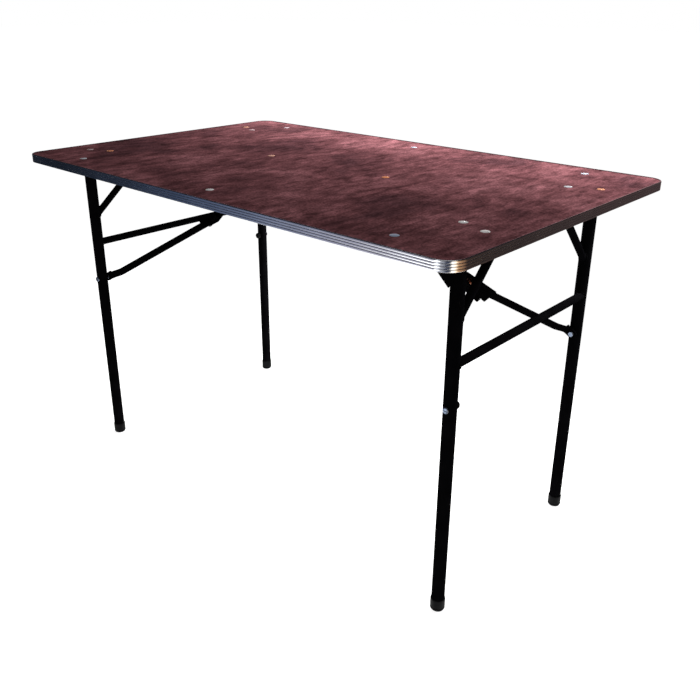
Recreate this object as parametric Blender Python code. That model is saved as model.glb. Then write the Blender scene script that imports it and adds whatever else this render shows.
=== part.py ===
"""Folding banquet table: a film-faced plywood top in an aluminium edging, on two folding tube frames.

Metres, +Z up. The origin is on the floor, under the middle of the top. The long sides run along X.
Each frame folds up under the top about a cross tube held in two saddles, and a two-piece brace,
an arm on the frame and a link under the top, stands straight at rest and folds at its knee.
"""

import math

import bmesh
import bpy
from mathutils import Matrix, Vector

# The top
TABLE_LENGTH = 1.220
TABLE_WIDTH = 0.762
TABLE_HEIGHT = 0.762
CORNER_RADIUS = 0.036
BOARD_THICKNESS = 0.018
SEAT_GAP = 0.0003

# The edging
EDGING_HEIGHT = 0.0185
EDGING_WALL = 0.0020
LIP_WIDTH = 0.0032
LIP_THICKNESS = 0.0008
RIB_COUNT = 4
GROOVE_DEPTH = 0.0006
GROOVE_WIDTH = 0.0012

# The bolts that show in the top
HEAD_RADIUS = 0.0083
HEAD_THICKNESS = 0.0022
SHANK_RADIUS = 0.0030
NUT_RADIUS = 0.0055
NUT_HEIGHT = 0.0048
SHANK_END = 0.0020

# The buffers under the top, on which a stacked table rests
BUFFER_RADIUS = 0.0160
BUFFER_HEIGHT = 0.0130
BUFFER_SEAT = 0.0035
BUFFER_SIDE_INSET = 0.059
BUFFER_END_INSET = 0.153

# The frames
HINGE_INSET = 0.088
HINGE_DROP = 0.0259
LEG_RADIUS = 0.0130
LEG_WALL = 0.0015
PIVOT_RADIUS = 0.0125
STRETCHER_RADIUS = 0.0086
STRETCHER_OFFSET = 0.0042
STRUT_RADIUS = 0.0079
TUBE_WALL = 0.0013
RIGHT_LEG_SPREAD = 0.2330
LEFT_LEG_SPREAD = 0.2725
RIGHT_STRETCHER_DROP = 0.1896
LEFT_STRETCHER_DROP = 0.1806
RIGHT_STRUT_DROP = 0.1170
LEFT_STRUT_DROP = 0.1150
RIGHT_STRUT_REACH = 0.1210
LEFT_STRUT_REACH = 0.1380

# The feet
FOOT_WALL = 0.0012
FOOT_FLOOR = 0.0030
FOOT_HEIGHT = 0.0260
FOOT_EDGE = 0.0040

# The saddles that hold the cross tubes
SADDLE_SHEET = 0.0020
SADDLE_BOLT_SPACING = 0.0230
SADDLE_EDGE = 0.0090
SADDLE_FLANGE_EDGE = 0.0090
SADDLE_RUNNING_GAP = 0.0004
RIGHT_SADDLE_REACH = 0.1940
LEFT_SADDLE_REACH = 0.2380
RIGHT_INNER_BOLT = 0.0310
LEFT_INNER_BOLT = 0.0240
OUTER_BOLT = 0.0268

# The braces
BRACE_PIVOT_DROP = 0.2740
BRACKET_PIVOT_REACH = 0.2240
BRACKET_PIVOT_DROP = 0.0154
ARM_LENGTH = 0.1948
ARM_HALF_WIDTH = 0.0053
ARM_HALF_HEIGHT = 0.0092
ARM_END_RADIUS = 0.0100
ARM_END_THICKNESS = 0.0040
ARM_LEG_CLEARANCE = 0.0030
ARM_SAG_AT_LEG = 0.0094
ARM_SAG_AT_KNEE = 0.0038
KNEE_PLATE_THICKNESS = 0.0030
KNEE_PLATE_MIDDLE = 0.0235
KNEE_PLATE_RADIUS = 0.0090
KNEE_PLATE_REACH = 0.0510
KNEE_PLATE_RISE = 0.0370
KNEE_NOSE_REACH = 0.0190
KNEE_NOSE_RISE = 0.0065
KNEE_FLANGE_WIDTH = 0.0150
LINK_SHEET = 0.0020
LINK_NEAR_SIDE = 0.0360
LINK_FAR_SIDE = 0.0040
LINK_WEB_RISE = 0.0105
LINK_FLANGE_FALL = 0.0100
LINK_END_RADIUS = 0.0100
LINK_WEB_SETBACK = 0.0125
LINK_OVERRUN = 0.0450
LINK_TONGUE_WIDTH = 0.0150
LINK_SHOULDER = 0.0070
KNEE_BOLT_RADIUS = 0.0045
KNEE_HEAD_RADIUS = 0.0080
KNEE_HEAD_THICKNESS = 0.0032
KNEE_OPEN_GAP = 0.0010

# The brackets that hold the links
BRACKET_SHEET = 0.0020
BRACKET_BOLT_REACH = 0.1730
BRACKET_EDGE = 0.0140
BRACKET_CHEEK_RADIUS = 0.0090
BRACKET_SIDE_GAP = 0.0008
PIN_RADIUS = 0.0035
PIN_HEAD_RADIUS = 0.0060
PIN_HEAD_THICKNESS = 0.0020

# The bolts through the legs
LEG_BOLT_RADIUS = 0.0035
LEG_BOLT_HEAD_RADIUS = 0.0062
LEG_BOLT_HEAD_THICKNESS = 0.0026
LEG_NUT_THICKNESS = 0.0042
CAP_RADIUS = 0.0085
CAP_LENGTH = 0.0090

# The fineness of the round shapes
CORNER_STEPS = 9
TUBE_STEPS = 20
SMALL_STEPS = 12
BOLT_STEPS = 10
SHARP_ANGLE = math.radians(35.0)
CUT_OVERRUN = 0.0020

# Places that follow from the sizes above
BOARD_TOP = TABLE_HEIGHT - LIP_THICKNESS - SEAT_GAP
BOARD_BOTTOM = BOARD_TOP - BOARD_THICKNESS
HINGE_X = TABLE_LENGTH / 2 - HINGE_INSET
HINGE_Z = BOARD_BOTTOM - HINGE_DROP
BRACE_PIVOT_Z = HINGE_Z - BRACE_PIVOT_DROP
BRACKET_PIVOT_Z = BOARD_BOTTOM - BRACKET_PIVOT_DROP
BRACE_RISE = BRACKET_PIVOT_Z - BRACE_PIVOT_Z
BRACE_RUN = HINGE_X - BRACKET_PIVOT_REACH
LINK_LENGTH = math.hypot(BRACE_RISE, BRACE_RUN) - ARM_LENGTH
BRACE_ANGLE = math.atan2(BRACE_RISE, BRACE_RUN)
KNEE_X = HINGE_X - ARM_LENGTH * math.cos(BRACE_ANGLE)
KNEE_Z = BRACE_PIVOT_Z + ARM_LENGTH * math.sin(BRACE_ANGLE)

RIGHT = {
    "side": "right",
    "turn": 1,
    "spread": RIGHT_LEG_SPREAD,
    "stretcher": HINGE_Z - RIGHT_STRETCHER_DROP,
    "strut_foot": HINGE_Z - RIGHT_STRUT_DROP,
    "strut_reach": RIGHT_STRUT_REACH,
    "saddle": RIGHT_SADDLE_REACH,
    "inner_bolt": RIGHT_INNER_BOLT,
}
LEFT = {
    "side": "left",
    "turn": -1,
    "spread": LEFT_LEG_SPREAD,
    "stretcher": HINGE_Z - LEFT_STRETCHER_DROP,
    "strut_foot": HINGE_Z - LEFT_STRUT_DROP,
    "strut_reach": LEFT_STRUT_REACH,
    "saddle": LEFT_SADDLE_REACH,
    "inner_bolt": LEFT_INNER_BOLT,
}
FRAMES = (RIGHT, LEFT)


def clear_scene():
    """Remove every object that the file opened with."""
    for obj in list(bpy.data.objects):
        bpy.data.objects.remove(obj, do_unlink=True)


def material(name, colour, roughness, metallic):
    """One surface, with its base colour, roughness and metallic value."""
    made = bpy.data.materials.new(name)
    made.use_nodes = True
    shader = made.node_tree.nodes["Principled BSDF"]
    shader.inputs["Base Color"].default_value = (*colour, 1.0)
    shader.inputs["Roughness"].default_value = roughness
    shader.inputs["Metallic"].default_value = metallic
    made.diffuse_color = (*colour, 1.0)
    return made


def film_material():
    """The dark red-brown phenolic film on the plywood."""
    return material("plywood_film", (0.085, 0.028, 0.026), 0.42, 0.0)


def aluminium_material():
    """The bright mill finish of the edging."""
    return material("edging_aluminium", (0.78, 0.79, 0.81), 0.26, 1.0)


def paint_material():
    """The black paint of the frames, the braces and the brackets."""
    return material("black_paint", (0.012, 0.011, 0.012), 0.38, 0.0)


def zinc_material():
    """The plated steel of the bolts."""
    return material("bolt_steel", (0.66, 0.66, 0.65), 0.34, 1.0)


def rubber_material():
    """The black plastic and rubber of the feet and the buffers."""
    return material("foot_rubber", (0.018, 0.018, 0.019), 0.62, 0.0)


def finish(name, mesh, surface):
    """Make a node of a closed mesh: faces out, round faces smooth, one surface."""
    shape = bmesh.new()
    shape.from_mesh(mesh)
    bmesh.ops.recalc_face_normals(shape, faces=shape.faces)
    shape.to_mesh(mesh)
    shape.free()
    mesh.shade_smooth()
    mesh.set_sharp_from_angle(angle=SHARP_ANGLE)
    obj = bpy.data.objects.new(name, mesh)
    bpy.context.scene.collection.objects.link(obj)
    if surface is not None:
        mesh.materials.append(surface)
    return obj


def lathe(name, profile, steps, surface):
    """Turn an (r, z) outline about Z. It starts and ends on the axis, or closes on itself."""
    mesh = bpy.data.meshes.new(name)
    shape = bmesh.new()
    on_axis = profile[0][0] == 0
    columns = []
    for r, z in profile:
        if r == 0:
            columns.append([shape.verts.new((0, 0, z))] * steps)
            continue
        ring = []
        for step in range(steps):
            angle = 2 * math.pi * step / steps
            ring.append(shape.verts.new((r * math.cos(angle), r * math.sin(angle), z)))
        columns.append(ring)
    count = len(columns)
    for index in range(count - 1 if on_axis else count):
        first = columns[index]
        second = columns[(index + 1) % count]
        for step in range(steps):
            after = (step + 1) % steps
            corners = [first[step], first[after], second[after], second[step]]
            kept = []
            for corner in corners:
                if corner not in kept:
                    kept.append(corner)
            shape.faces.new(kept)
    shape.to_mesh(mesh)
    shape.free()
    return finish(name, mesh, surface)


def prism(name, outline, low, high, surface):
    """Extrude an outline in the XY plane from low to high along Z."""
    mesh = bpy.data.meshes.new(name)
    shape = bmesh.new()
    base = shape.faces.new([shape.verts.new((x, y, low)) for x, y in outline])
    grown = bmesh.ops.extrude_face_region(shape, geom=[base])
    moved = [item for item in grown["geom"] if isinstance(item, bmesh.types.BMVert)]
    bmesh.ops.translate(shape, vec=(0, 0, high - low), verts=moved)
    shape.to_mesh(mesh)
    shape.free()
    return finish(name, mesh, surface)


def side_prism(name, outline, low, high, surface):
    """Extrude an outline in the XZ plane from low to high along Y."""
    obj = prism(name, [(x, -z) for x, z in outline], low, high, surface)
    obj.data.transform(Matrix.Rotation(-math.pi / 2, 4, "X"))
    return obj


def block(name, low, high, surface):
    """A box between two corners."""
    outline = [(low[0], low[1]), (high[0], low[1]), (high[0], high[1]), (low[0], high[1])]
    return prism(name, outline, low[2], high[2], surface)


def arc(centre, radius, start, end, steps):
    """Points on an arc from start to end, in radians, both ends included."""
    points = []
    for step in range(steps + 1):
        angle = start + (end - start) * step / steps
        points.append((centre[0] + radius * math.cos(angle), centre[1] + radius * math.sin(angle)))
    return points


def rounded_outline(inset):
    """The outline of the top, drawn in by an inset."""
    half_length = TABLE_LENGTH / 2 - CORNER_RADIUS
    half_width = TABLE_WIDTH / 2 - CORNER_RADIUS
    radius = CORNER_RADIUS - inset
    corners = ((1, 1), (-1, 1), (-1, -1), (1, -1))
    points = []
    for index, (sign_x, sign_y) in enumerate(corners):
        start = index * math.pi / 2
        centre = (sign_x * half_length, sign_y * half_width)
        points += arc(centre, radius, start, start + math.pi / 2, CORNER_STEPS)
    return points


def aim(obj, start, end):
    """Place an object that was built along Z from its origin so that it runs from start to end."""
    start = Vector(start)
    direction = Vector(end) - start
    obj.rotation_mode = "QUATERNION"
    obj.rotation_quaternion = direction.to_track_quat("Z", "Y")
    obj.location = start


def rod(name, start, end, radius, steps, surface):
    """A solid round bar from start to end."""
    length = (Vector(end) - Vector(start)).length
    obj = lathe(name, [(0, 0), (radius, 0), (radius, length), (0, length)], steps, surface)
    aim(obj, start, end)
    return obj


def oval_bar(name, start, end, half_width, half_height, steps):
    """A helper bar of upright oval section from start to end, cut off square to X."""
    shape = bmesh.new()
    rings = []
    for place in (start, end):
        ring = []
        for step in range(steps):
            angle = 2 * math.pi * step / steps
            y = place.y + half_width * math.cos(angle)
            z = place.z + half_height * math.sin(angle)
            ring.append(shape.verts.new((place.x, y, z)))
        shape.faces.new(ring)
        rings.append(ring)
    first, second = rings
    for step in range(steps):
        after = (step + 1) % steps
        shape.faces.new([first[step], first[after], second[after], second[step]])
    mesh = bpy.data.meshes.new(name)
    shape.to_mesh(mesh)
    shape.free()
    return finish(name, mesh, None)


def pipe(name, start, end, radius, wall, surface):
    """An open tube from start to end."""
    length = (Vector(end) - Vector(start)).length
    inner = radius - wall
    profile = [(radius, 0), (radius, length), (inner, length), (inner, 0)]
    obj = lathe(name, profile, TUBE_STEPS, surface)
    aim(obj, start, end)
    return obj


def hide(obj):
    """Turn an object into a helper that only cuts or joins others."""
    obj.hide_render = True
    obj.display_type = "WIRE"
    return obj


def combine(obj, other, operation):
    """Cut or join with a helper object, as a live modifier."""
    modifier = obj.modifiers.new(other.name, "BOOLEAN")
    modifier.operation = operation
    modifier.solver = "EXACT"
    modifier.object = hide(other)
    return obj


def cut(obj, other):
    """Take a helper away from an object."""
    return combine(obj, other, "DIFFERENCE")


def join(obj, other):
    """Make an object and a helper one body."""
    return combine(obj, other, "UNION")


def carry(obj, parent):
    """Hang an object on an empty, where it stands."""
    obj.parent = parent
    obj.location = obj.location - parent.location
    return obj


def empty(name, place):
    """An empty on a joint's axis."""
    made = bpy.data.objects.new(name, None)
    made.location = place
    bpy.context.scene.collection.objects.link(made)
    return made


def around(frame, x, y):
    """A place for one frame: the left one is the right one turned half way round."""
    return frame["turn"] * x, frame["turn"] * y


def saddle_bolts(frame):
    """The places of the four bolts that hold one frame's saddles."""
    places = []
    near = frame["saddle"] - SADDLE_BOLT_SPACING / 2
    far = frame["saddle"] + SADDLE_BOLT_SPACING / 2
    for sign in (-1, 1):
        places.append(around(frame, HINGE_X - frame["inner_bolt"], sign * near))
        places.append(around(frame, HINGE_X + OUTER_BOLT, sign * far))
    return places


def buffer_bolts():
    """The places of the six bolts that hold the buffers."""
    side = TABLE_WIDTH / 2 - BUFFER_SIDE_INSET
    end = TABLE_LENGTH / 2 - BUFFER_END_INSET
    return [(x, y) for x in (-end, 0, end) for y in (-side, side)]


def top_bolts():
    """Each bolt in the top: its name, its place and the underside that its nut sits on."""
    bolts = []
    sheet = BOARD_BOTTOM - SEAT_GAP
    for frame in FRAMES:
        for number, place in enumerate(saddle_bolts(frame), 1):
            name = f"saddle_bolt_{frame['side']}_{number}"
            bolts.append((name, place, sheet - SADDLE_SHEET - SEAT_GAP))
        name = f"bracket_bolt_{frame['side']}"
        place = around(frame, BRACKET_BOLT_REACH, 0)
        bolts.append((name, place, sheet - BRACKET_SHEET - SEAT_GAP))
    for number, place in enumerate(buffer_bolts(), 1):
        bolts.append((f"buffer_bolt_{number}", place, sheet - BUFFER_SEAT - SEAT_GAP))
    return bolts


def make_board(surface):
    """The plywood, with a counterbored hole for each bolt."""
    board = prism(
        "tabletop_board",
        rounded_outline(EDGING_WALL + SEAT_GAP),
        BOARD_BOTTOM,
        BOARD_TOP,
        surface,
    )
    wide = HEAD_RADIUS + SEAT_GAP
    narrow = SHANK_RADIUS + SEAT_GAP
    seat = BOARD_TOP - HEAD_THICKNESS - SEAT_GAP
    profile = [
        (0, BOARD_BOTTOM - CUT_OVERRUN),
        (narrow, BOARD_BOTTOM - CUT_OVERRUN),
        (narrow, seat),
        (wide, seat),
        (wide, BOARD_TOP + CUT_OVERRUN),
        (0, BOARD_TOP + CUT_OVERRUN),
    ]
    for name, place, _ in top_bolts():
        cutter = lathe(f"cut_{name}", profile, BOLT_STEPS, None)
        cutter.location = (*place, 0)
        cut(board, cutter)
    return board


def edging_section():
    """The edging's section, as (inset, z): a grooved face, a wall and a lip over the board."""
    low = TABLE_HEIGHT - EDGING_HEIGHT
    high = TABLE_HEIGHT
    pitch = EDGING_HEIGHT / RIB_COUNT
    section = [(0, low)]
    for groove in range(1, RIB_COUNT):
        middle = low + groove * pitch
        section.append((0, middle - GROOVE_WIDTH / 2))
        section.append((GROOVE_DEPTH, middle))
        section.append((0, middle + GROOVE_WIDTH / 2))
    section.append((0, high - LIP_THICKNESS / 2))
    section.append((LIP_THICKNESS / 2, high))
    section.append((LIP_WIDTH, high))
    section.append((LIP_WIDTH, high - LIP_THICKNESS))
    section.append((EDGING_WALL, high - LIP_THICKNESS))
    section.append((EDGING_WALL, low))
    return section


def make_edging(surface):
    """The aluminium edging, its section carried round the top."""
    mesh = bpy.data.meshes.new("edge_trim")
    shape = bmesh.new()
    columns = []
    for inset, z in edging_section():
        columns.append([shape.verts.new((x, y, z)) for x, y in rounded_outline(inset)])
    count = len(columns)
    stations = len(columns[0])
    for index in range(count):
        first = columns[index]
        second = columns[(index + 1) % count]
        for station in range(stations):
            after = (station + 1) % stations
            shape.faces.new([first[station], first[after], second[after], second[station]])
    shape.to_mesh(mesh)
    shape.free()
    return finish("edge_trim", mesh, surface)


def make_top_bolts(surface):
    """A bolt flush in the top, with its nut, at each place."""
    head_under = BOARD_TOP - HEAD_THICKNESS
    for name, place, nut_top in top_bolts():
        nut_bottom = nut_top - NUT_HEIGHT
        profile = [
            (0, BOARD_TOP),
            (HEAD_RADIUS, BOARD_TOP),
            (HEAD_RADIUS, head_under),
            (SHANK_RADIUS, head_under),
            (SHANK_RADIUS, nut_top),
            (NUT_RADIUS, nut_top),
            (NUT_RADIUS, nut_bottom),
            (SHANK_RADIUS, nut_bottom),
            (SHANK_RADIUS, nut_bottom - SHANK_END),
            (0, nut_bottom - SHANK_END),
        ]
        bolt = lathe(name, profile, BOLT_STEPS, surface)
        bolt.location = (*place, 0)


def make_buffers(surface):
    """The six rubber buffers under the top, each round the nut of its bolt."""
    high = BOARD_BOTTOM - SEAT_GAP
    low = high - BUFFER_HEIGHT
    seat = high - BUFFER_SEAT
    narrow = SHANK_RADIUS + SEAT_GAP
    wide = NUT_RADIUS + SEAT_GAP
    profile = [
        (BUFFER_RADIUS, high),
        (BUFFER_RADIUS, low),
        (wide, low),
        (wide, seat),
        (narrow, seat),
        (narrow, high),
    ]
    for number, place in enumerate(buffer_bolts(), 1):
        buffer = lathe(f"stacking_buffer_{number}", profile, TUBE_STEPS, surface)
        buffer.location = (*place, 0)


def make_saddles(frame, surface):
    """The two straps that hold a cross tube under the top. The bolts sit one inboard, one outboard."""
    high = BOARD_BOTTOM - SEAT_GAP - HINGE_Z
    inner = PIVOT_RADIUS + SADDLE_RUNNING_GAP
    outer = inner + SADDLE_SHEET
    inboard = frame["inner_bolt"] + SADDLE_FLANGE_EDGE
    outboard = OUTER_BOLT + SADDLE_FLANGE_EDGE
    outline = [(-inboard, high), (-inner, high)]
    outline += arc((0, 0), inner, math.pi, 2 * math.pi, SMALL_STEPS)
    outline += [(inner, high), (outboard, high), (outboard, high - SADDLE_SHEET)]
    outline += [(outer, high - SADDLE_SHEET)]
    outline += arc((0, 0), outer, 2 * math.pi, math.pi, SMALL_STEPS)
    outline += [(-outer, high - SADDLE_SHEET), (-inboard, high - SADDLE_SHEET)]
    if frame["turn"] < 0:
        outline = [(-x, z) for x, z in outline]
    half = SADDLE_BOLT_SPACING / 2 + SADDLE_EDGE
    bolts = saddle_bolts(frame)
    for number, sign in enumerate((-1, 1)):
        label = ("front", "back")[number] if frame["turn"] > 0 else ("back", "front")[number]
        name = f"hinge_saddle_{frame['side']}_{label}"
        x, y = around(frame, HINGE_X, sign * frame["saddle"])
        saddle = side_prism(name, outline, -half, half, surface)
        saddle.location = (x, y, HINGE_Z)
        for bolt_x, bolt_y in bolts[2 * number : 2 * number + 2]:
            cutter = rod(
                f"cut_{name}",
                (bolt_x, bolt_y, BOARD_BOTTOM - HINGE_DROP),
                (bolt_x, bolt_y, BOARD_BOTTOM + CUT_OVERRUN),
                SHANK_RADIUS + SEAT_GAP,
                SMALL_STEPS,
                None,
            )
            cut(saddle, cutter)


def make_legs(frame, pivot, surface):
    """The two upright tubes of a frame, each drilled for its bolt."""
    reach = LEG_RADIUS + CUT_OVERRUN
    for sign in (-1, 1):
        x, y = around(frame, HINGE_X, sign * frame["spread"])
        name = f"leg_{frame['side']}_{'back' if y > 0 else 'front'}"
        foot = (x, y, FOOT_FLOOR + SEAT_GAP)
        leg = pipe(name, foot, (x, y, HINGE_Z + LEG_RADIUS), LEG_RADIUS, LEG_WALL, surface)
        hole = rod(
            f"cut_{name}",
            (x, y - reach, BRACE_PIVOT_Z),
            (x, y + reach, BRACE_PIVOT_Z),
            LEG_BOLT_RADIUS + SEAT_GAP,
            SMALL_STEPS,
            None,
        )
        carry(cut(leg, hole), pivot)
        carry(hole, pivot)


def leg_space(name, frame, sign, pivot):
    """The room of a leg, with a gap round it, for coping the tubes that meet it."""
    x, y = around(frame, HINGE_X, sign * frame["spread"])
    space = rod(
        name,
        (x, y, 0),
        (x, y, TABLE_HEIGHT),
        LEG_RADIUS + SEAT_GAP,
        TUBE_STEPS,
        None,
    )
    return carry(space, pivot)


def make_cross_tubes(frame, pivot, surface):
    """The cross tube on the hinge axis and the stretcher, both coped to the legs."""
    offset = around(frame, HINGE_X + STRETCHER_OFFSET, 0)[0]
    centre = around(frame, HINGE_X, 0)[0]
    rows = (
        ("pivot_tube", centre, HINGE_Z, PIVOT_RADIUS),
        ("stretcher", offset, frame["stretcher"], STRETCHER_RADIUS),
    )
    for kind, x, z, radius in rows:
        name = f"{kind}_{frame['side']}"
        ends = ((x, -frame["spread"], z), (x, frame["spread"], z))
        tube = pipe(name, *ends, radius, TUBE_WALL, surface)
        for number, sign in enumerate((-1, 1)):
            cut(tube, leg_space(f"cut_{name}_{number}", frame, sign, pivot))
        carry(tube, pivot)


def make_struts(frame, pivot, surface):
    """The two slanted struts between the legs and the cross tube."""
    centre = around(frame, HINGE_X, 0)[0]
    for sign in (-1, 1):
        foot_x, foot_y = around(frame, HINGE_X, sign * frame["spread"])
        top_x, top_y = around(frame, HINGE_X, sign * frame["strut_reach"])
        name = f"strut_{frame['side']}_{'back' if foot_y > 0 else 'front'}"
        strut = pipe(
            name,
            (foot_x, foot_y, frame["strut_foot"]),
            (top_x, top_y, HINGE_Z),
            STRUT_RADIUS,
            TUBE_WALL,
            surface,
        )
        cut(strut, leg_space(f"cut_{name}_leg", frame, sign, pivot))
        room = rod(
            f"cut_{name}_pivot",
            (centre, -frame["spread"], HINGE_Z),
            (centre, frame["spread"], HINGE_Z),
            PIVOT_RADIUS + SEAT_GAP,
            TUBE_STEPS,
            None,
        )
        cut(strut, carry(room, pivot))
        carry(strut, pivot)


def make_feet(frame, pivot, surface):
    """The black caps on the ends of the legs."""
    bore = LEG_RADIUS + SEAT_GAP
    outer = bore + FOOT_WALL
    profile = [
        (0, 0),
        (outer - FOOT_EDGE, 0),
        (outer - FOOT_EDGE / 4, FOOT_EDGE / 4),
        (outer, FOOT_EDGE),
        (outer, FOOT_HEIGHT - FOOT_WALL / 2),
        (outer - FOOT_WALL / 2, FOOT_HEIGHT),
        (bore, FOOT_HEIGHT),
        (bore, FOOT_FLOOR),
        (0, FOOT_FLOOR),
    ]
    for sign in (-1, 1):
        x, y = around(frame, HINGE_X, sign * frame["spread"])
        name = f"foot_{frame['side']}_{'back' if y > 0 else 'front'}"
        foot = lathe(name, profile, TUBE_STEPS, surface)
        foot.location = (x, y, 0)
        carry(foot, pivot)


def arm_end_middle(frame):
    """How far from the middle of the table the arm's flat end lies at its leg."""
    inner_side = frame["spread"] - LEG_RADIUS
    return inner_side - ARM_LEG_CLEARANCE - ARM_END_THICKNESS / 2


def make_leg_bolts(frame, pivot, surface, plastic):
    """The brace's pivot bolt through one leg, and the capped bolt through the other."""
    outside = LEG_RADIUS + SEAT_GAP
    flat = frame["spread"] - arm_end_middle(frame)
    near = flat - ARM_END_THICKNESS / 2 - SEAT_GAP
    far = flat + ARM_END_THICKNESS / 2 + SEAT_GAP
    profile = [
        (0, outside + LEG_BOLT_HEAD_THICKNESS),
        (LEG_BOLT_HEAD_RADIUS, outside + LEG_BOLT_HEAD_THICKNESS / 2),
        (LEG_BOLT_HEAD_RADIUS, outside),
        (LEG_BOLT_RADIUS, outside),
        (LEG_BOLT_RADIUS, -outside),
        (LEG_BOLT_HEAD_RADIUS, -outside),
        (LEG_BOLT_HEAD_RADIUS, -near),
        (LEG_BOLT_RADIUS, -near),
        (LEG_BOLT_RADIUS, -far),
        (LEG_BOLT_HEAD_RADIUS, -far),
        (LEG_BOLT_HEAD_RADIUS, -far - LEG_NUT_THICKNESS),
        (0, -far - LEG_NUT_THICKNESS),
    ]
    x, y = around(frame, HINGE_X, frame["spread"])
    bolt = lathe(f"brace_pivot_bolt_{frame['side']}", profile, SMALL_STEPS, surface)
    place = Vector((x, y, BRACE_PIVOT_Z))
    aim(bolt, place, place + Vector((0, y, 0)))
    carry(bolt, pivot)
    # The other leg's bolt carries a domed cap on its inner side.
    profile = [
        (0, outside + LEG_BOLT_HEAD_THICKNESS),
        (LEG_BOLT_HEAD_RADIUS, outside + LEG_BOLT_HEAD_THICKNESS / 2),
        (LEG_BOLT_HEAD_RADIUS, outside),
        (LEG_BOLT_RADIUS, outside),
        (LEG_BOLT_RADIUS, -outside),
        (CAP_RADIUS, -outside),
        (CAP_RADIUS, -outside - CAP_LENGTH / 2),
        (CAP_RADIUS * 0.8, -outside - CAP_LENGTH * 0.85),
        (0, -outside - CAP_LENGTH),
    ]
    x, y = around(frame, HINGE_X, -frame["spread"])
    bolt = lathe(f"capped_leg_bolt_{frame['side']}", profile, SMALL_STEPS, plastic)
    place = Vector((x, y, BRACE_PIVOT_Z))
    aim(bolt, place, place + Vector((0, y, 0)))
    carry(bolt, pivot)


def half_turned(obj, frame):
    """Turn a piece that was built for the right brace half way round for the left one."""
    if frame["turn"] < 0:
        obj.rotation_mode = "XYZ"
        obj.rotation_euler = (0, 0, math.pi)
    return obj


def leaned(obj, angle, place):
    """Lean a piece built along X about Y, and set it at its place, all within its mesh."""
    obj.data.transform(obj.matrix_basis)
    obj.matrix_basis = Matrix.Identity(4)
    obj.data.transform(Matrix.Rotation(angle, 4, "Y"))
    obj.location = place
    return obj


def make_arm(frame, pivot, surface):
    """The lower half of the brace: a tube with a flat end at the leg and a plate at the knee."""
    end = arm_end_middle(frame)
    half = ARM_END_THICKNESS / 2
    tail = 2 * ARM_END_RADIUS
    outline = arc((0, 0), ARM_END_RADIUS, math.pi / 2, 3 * math.pi / 2, SMALL_STEPS)
    outline += [(tail, -ARM_END_RADIUS + ARM_SAG_AT_LEG / 2), (tail, ARM_END_RADIUS + ARM_SAG_AT_LEG / 2)]
    name = f"brace_arm_{frame['side']}"
    arm = side_prism(name, outline, end - half, end + half, surface)
    plate_half = KNEE_PLATE_THICKNESS / 2
    start = Vector((ARM_END_RADIUS * 1.4, end - half, ARM_SAG_AT_LEG))
    finish_at = Vector((ARM_LENGTH - KNEE_PLATE_RADIUS, KNEE_PLATE_MIDDLE + half, ARM_SAG_AT_KNEE))
    tube = oval_bar(f"join_{name}_tube", start, finish_at, ARM_HALF_WIDTH, ARM_HALF_HEIGHT, TUBE_STEPS)
    tip = ARM_LENGTH - KNEE_PLATE_REACH
    low = KNEE_PLATE_RADIUS
    nose = ARM_LENGTH + KNEE_NOSE_REACH
    outline = [(tip, -KNEE_PLATE_RISE), (nose, -KNEE_NOSE_RISE), (nose, low / 2)]
    outline += [(ARM_LENGTH, low), (ARM_LENGTH - 2 * low, low), (tip, 0)]
    plate = side_prism(
        f"join_{name}_plate",
        outline,
        KNEE_PLATE_MIDDLE - plate_half,
        KNEE_PLATE_MIDDLE + plate_half,
        None,
    )
    sheet = KNEE_PLATE_THICKNESS
    slope = (KNEE_PLATE_RISE - KNEE_NOSE_RISE) / (KNEE_PLATE_REACH + KNEE_NOSE_REACH)
    top = -KNEE_NOSE_RISE - slope * (KNEE_NOSE_REACH + sheet)
    outline = [
        (tip + sheet / 4, -KNEE_PLATE_RISE + sheet / 2),
        (ARM_LENGTH - sheet, top + sheet / 2),
        (ARM_LENGTH - sheet, top + 3 * sheet / 2),
        (tip + sheet / 4, -KNEE_PLATE_RISE + 3 * sheet / 2),
    ]
    flange = side_prism(
        f"join_{name}_flange",
        outline,
        KNEE_PLATE_MIDDLE - KNEE_FLANGE_WIDTH,
        KNEE_PLATE_MIDDLE,
        None,
    )
    hole = rod(
        f"cut_{name}_leg",
        (0, end - tail, 0),
        (0, end + tail, 0),
        LEG_BOLT_RADIUS + SEAT_GAP,
        SMALL_STEPS,
        None,
    )
    knee = rod(
        f"cut_{name}_knee",
        (ARM_LENGTH, KNEE_PLATE_MIDDLE - sheet, 0),
        (ARM_LENGTH, KNEE_PLATE_MIDDLE + sheet, 0),
        KNEE_BOLT_RADIUS + SEAT_GAP,
        SMALL_STEPS,
        None,
    )
    place = (*around(frame, HINGE_X, 0), BRACE_PIVOT_Z)
    angle = math.pi + BRACE_ANGLE
    for piece in (arm, tube, plate, flange, hole, knee):
        leaned(piece, angle, place)
        carry(half_turned(piece, frame), pivot)
    join(arm, tube)
    join(arm, plate)
    join(arm, flange)
    cut(arm, hole)
    cut(arm, knee)


def knee_place(frame):
    """Where the knee's axis crosses the middle plane of the table."""
    return (*around(frame, KNEE_X, 0), KNEE_Z)


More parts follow.
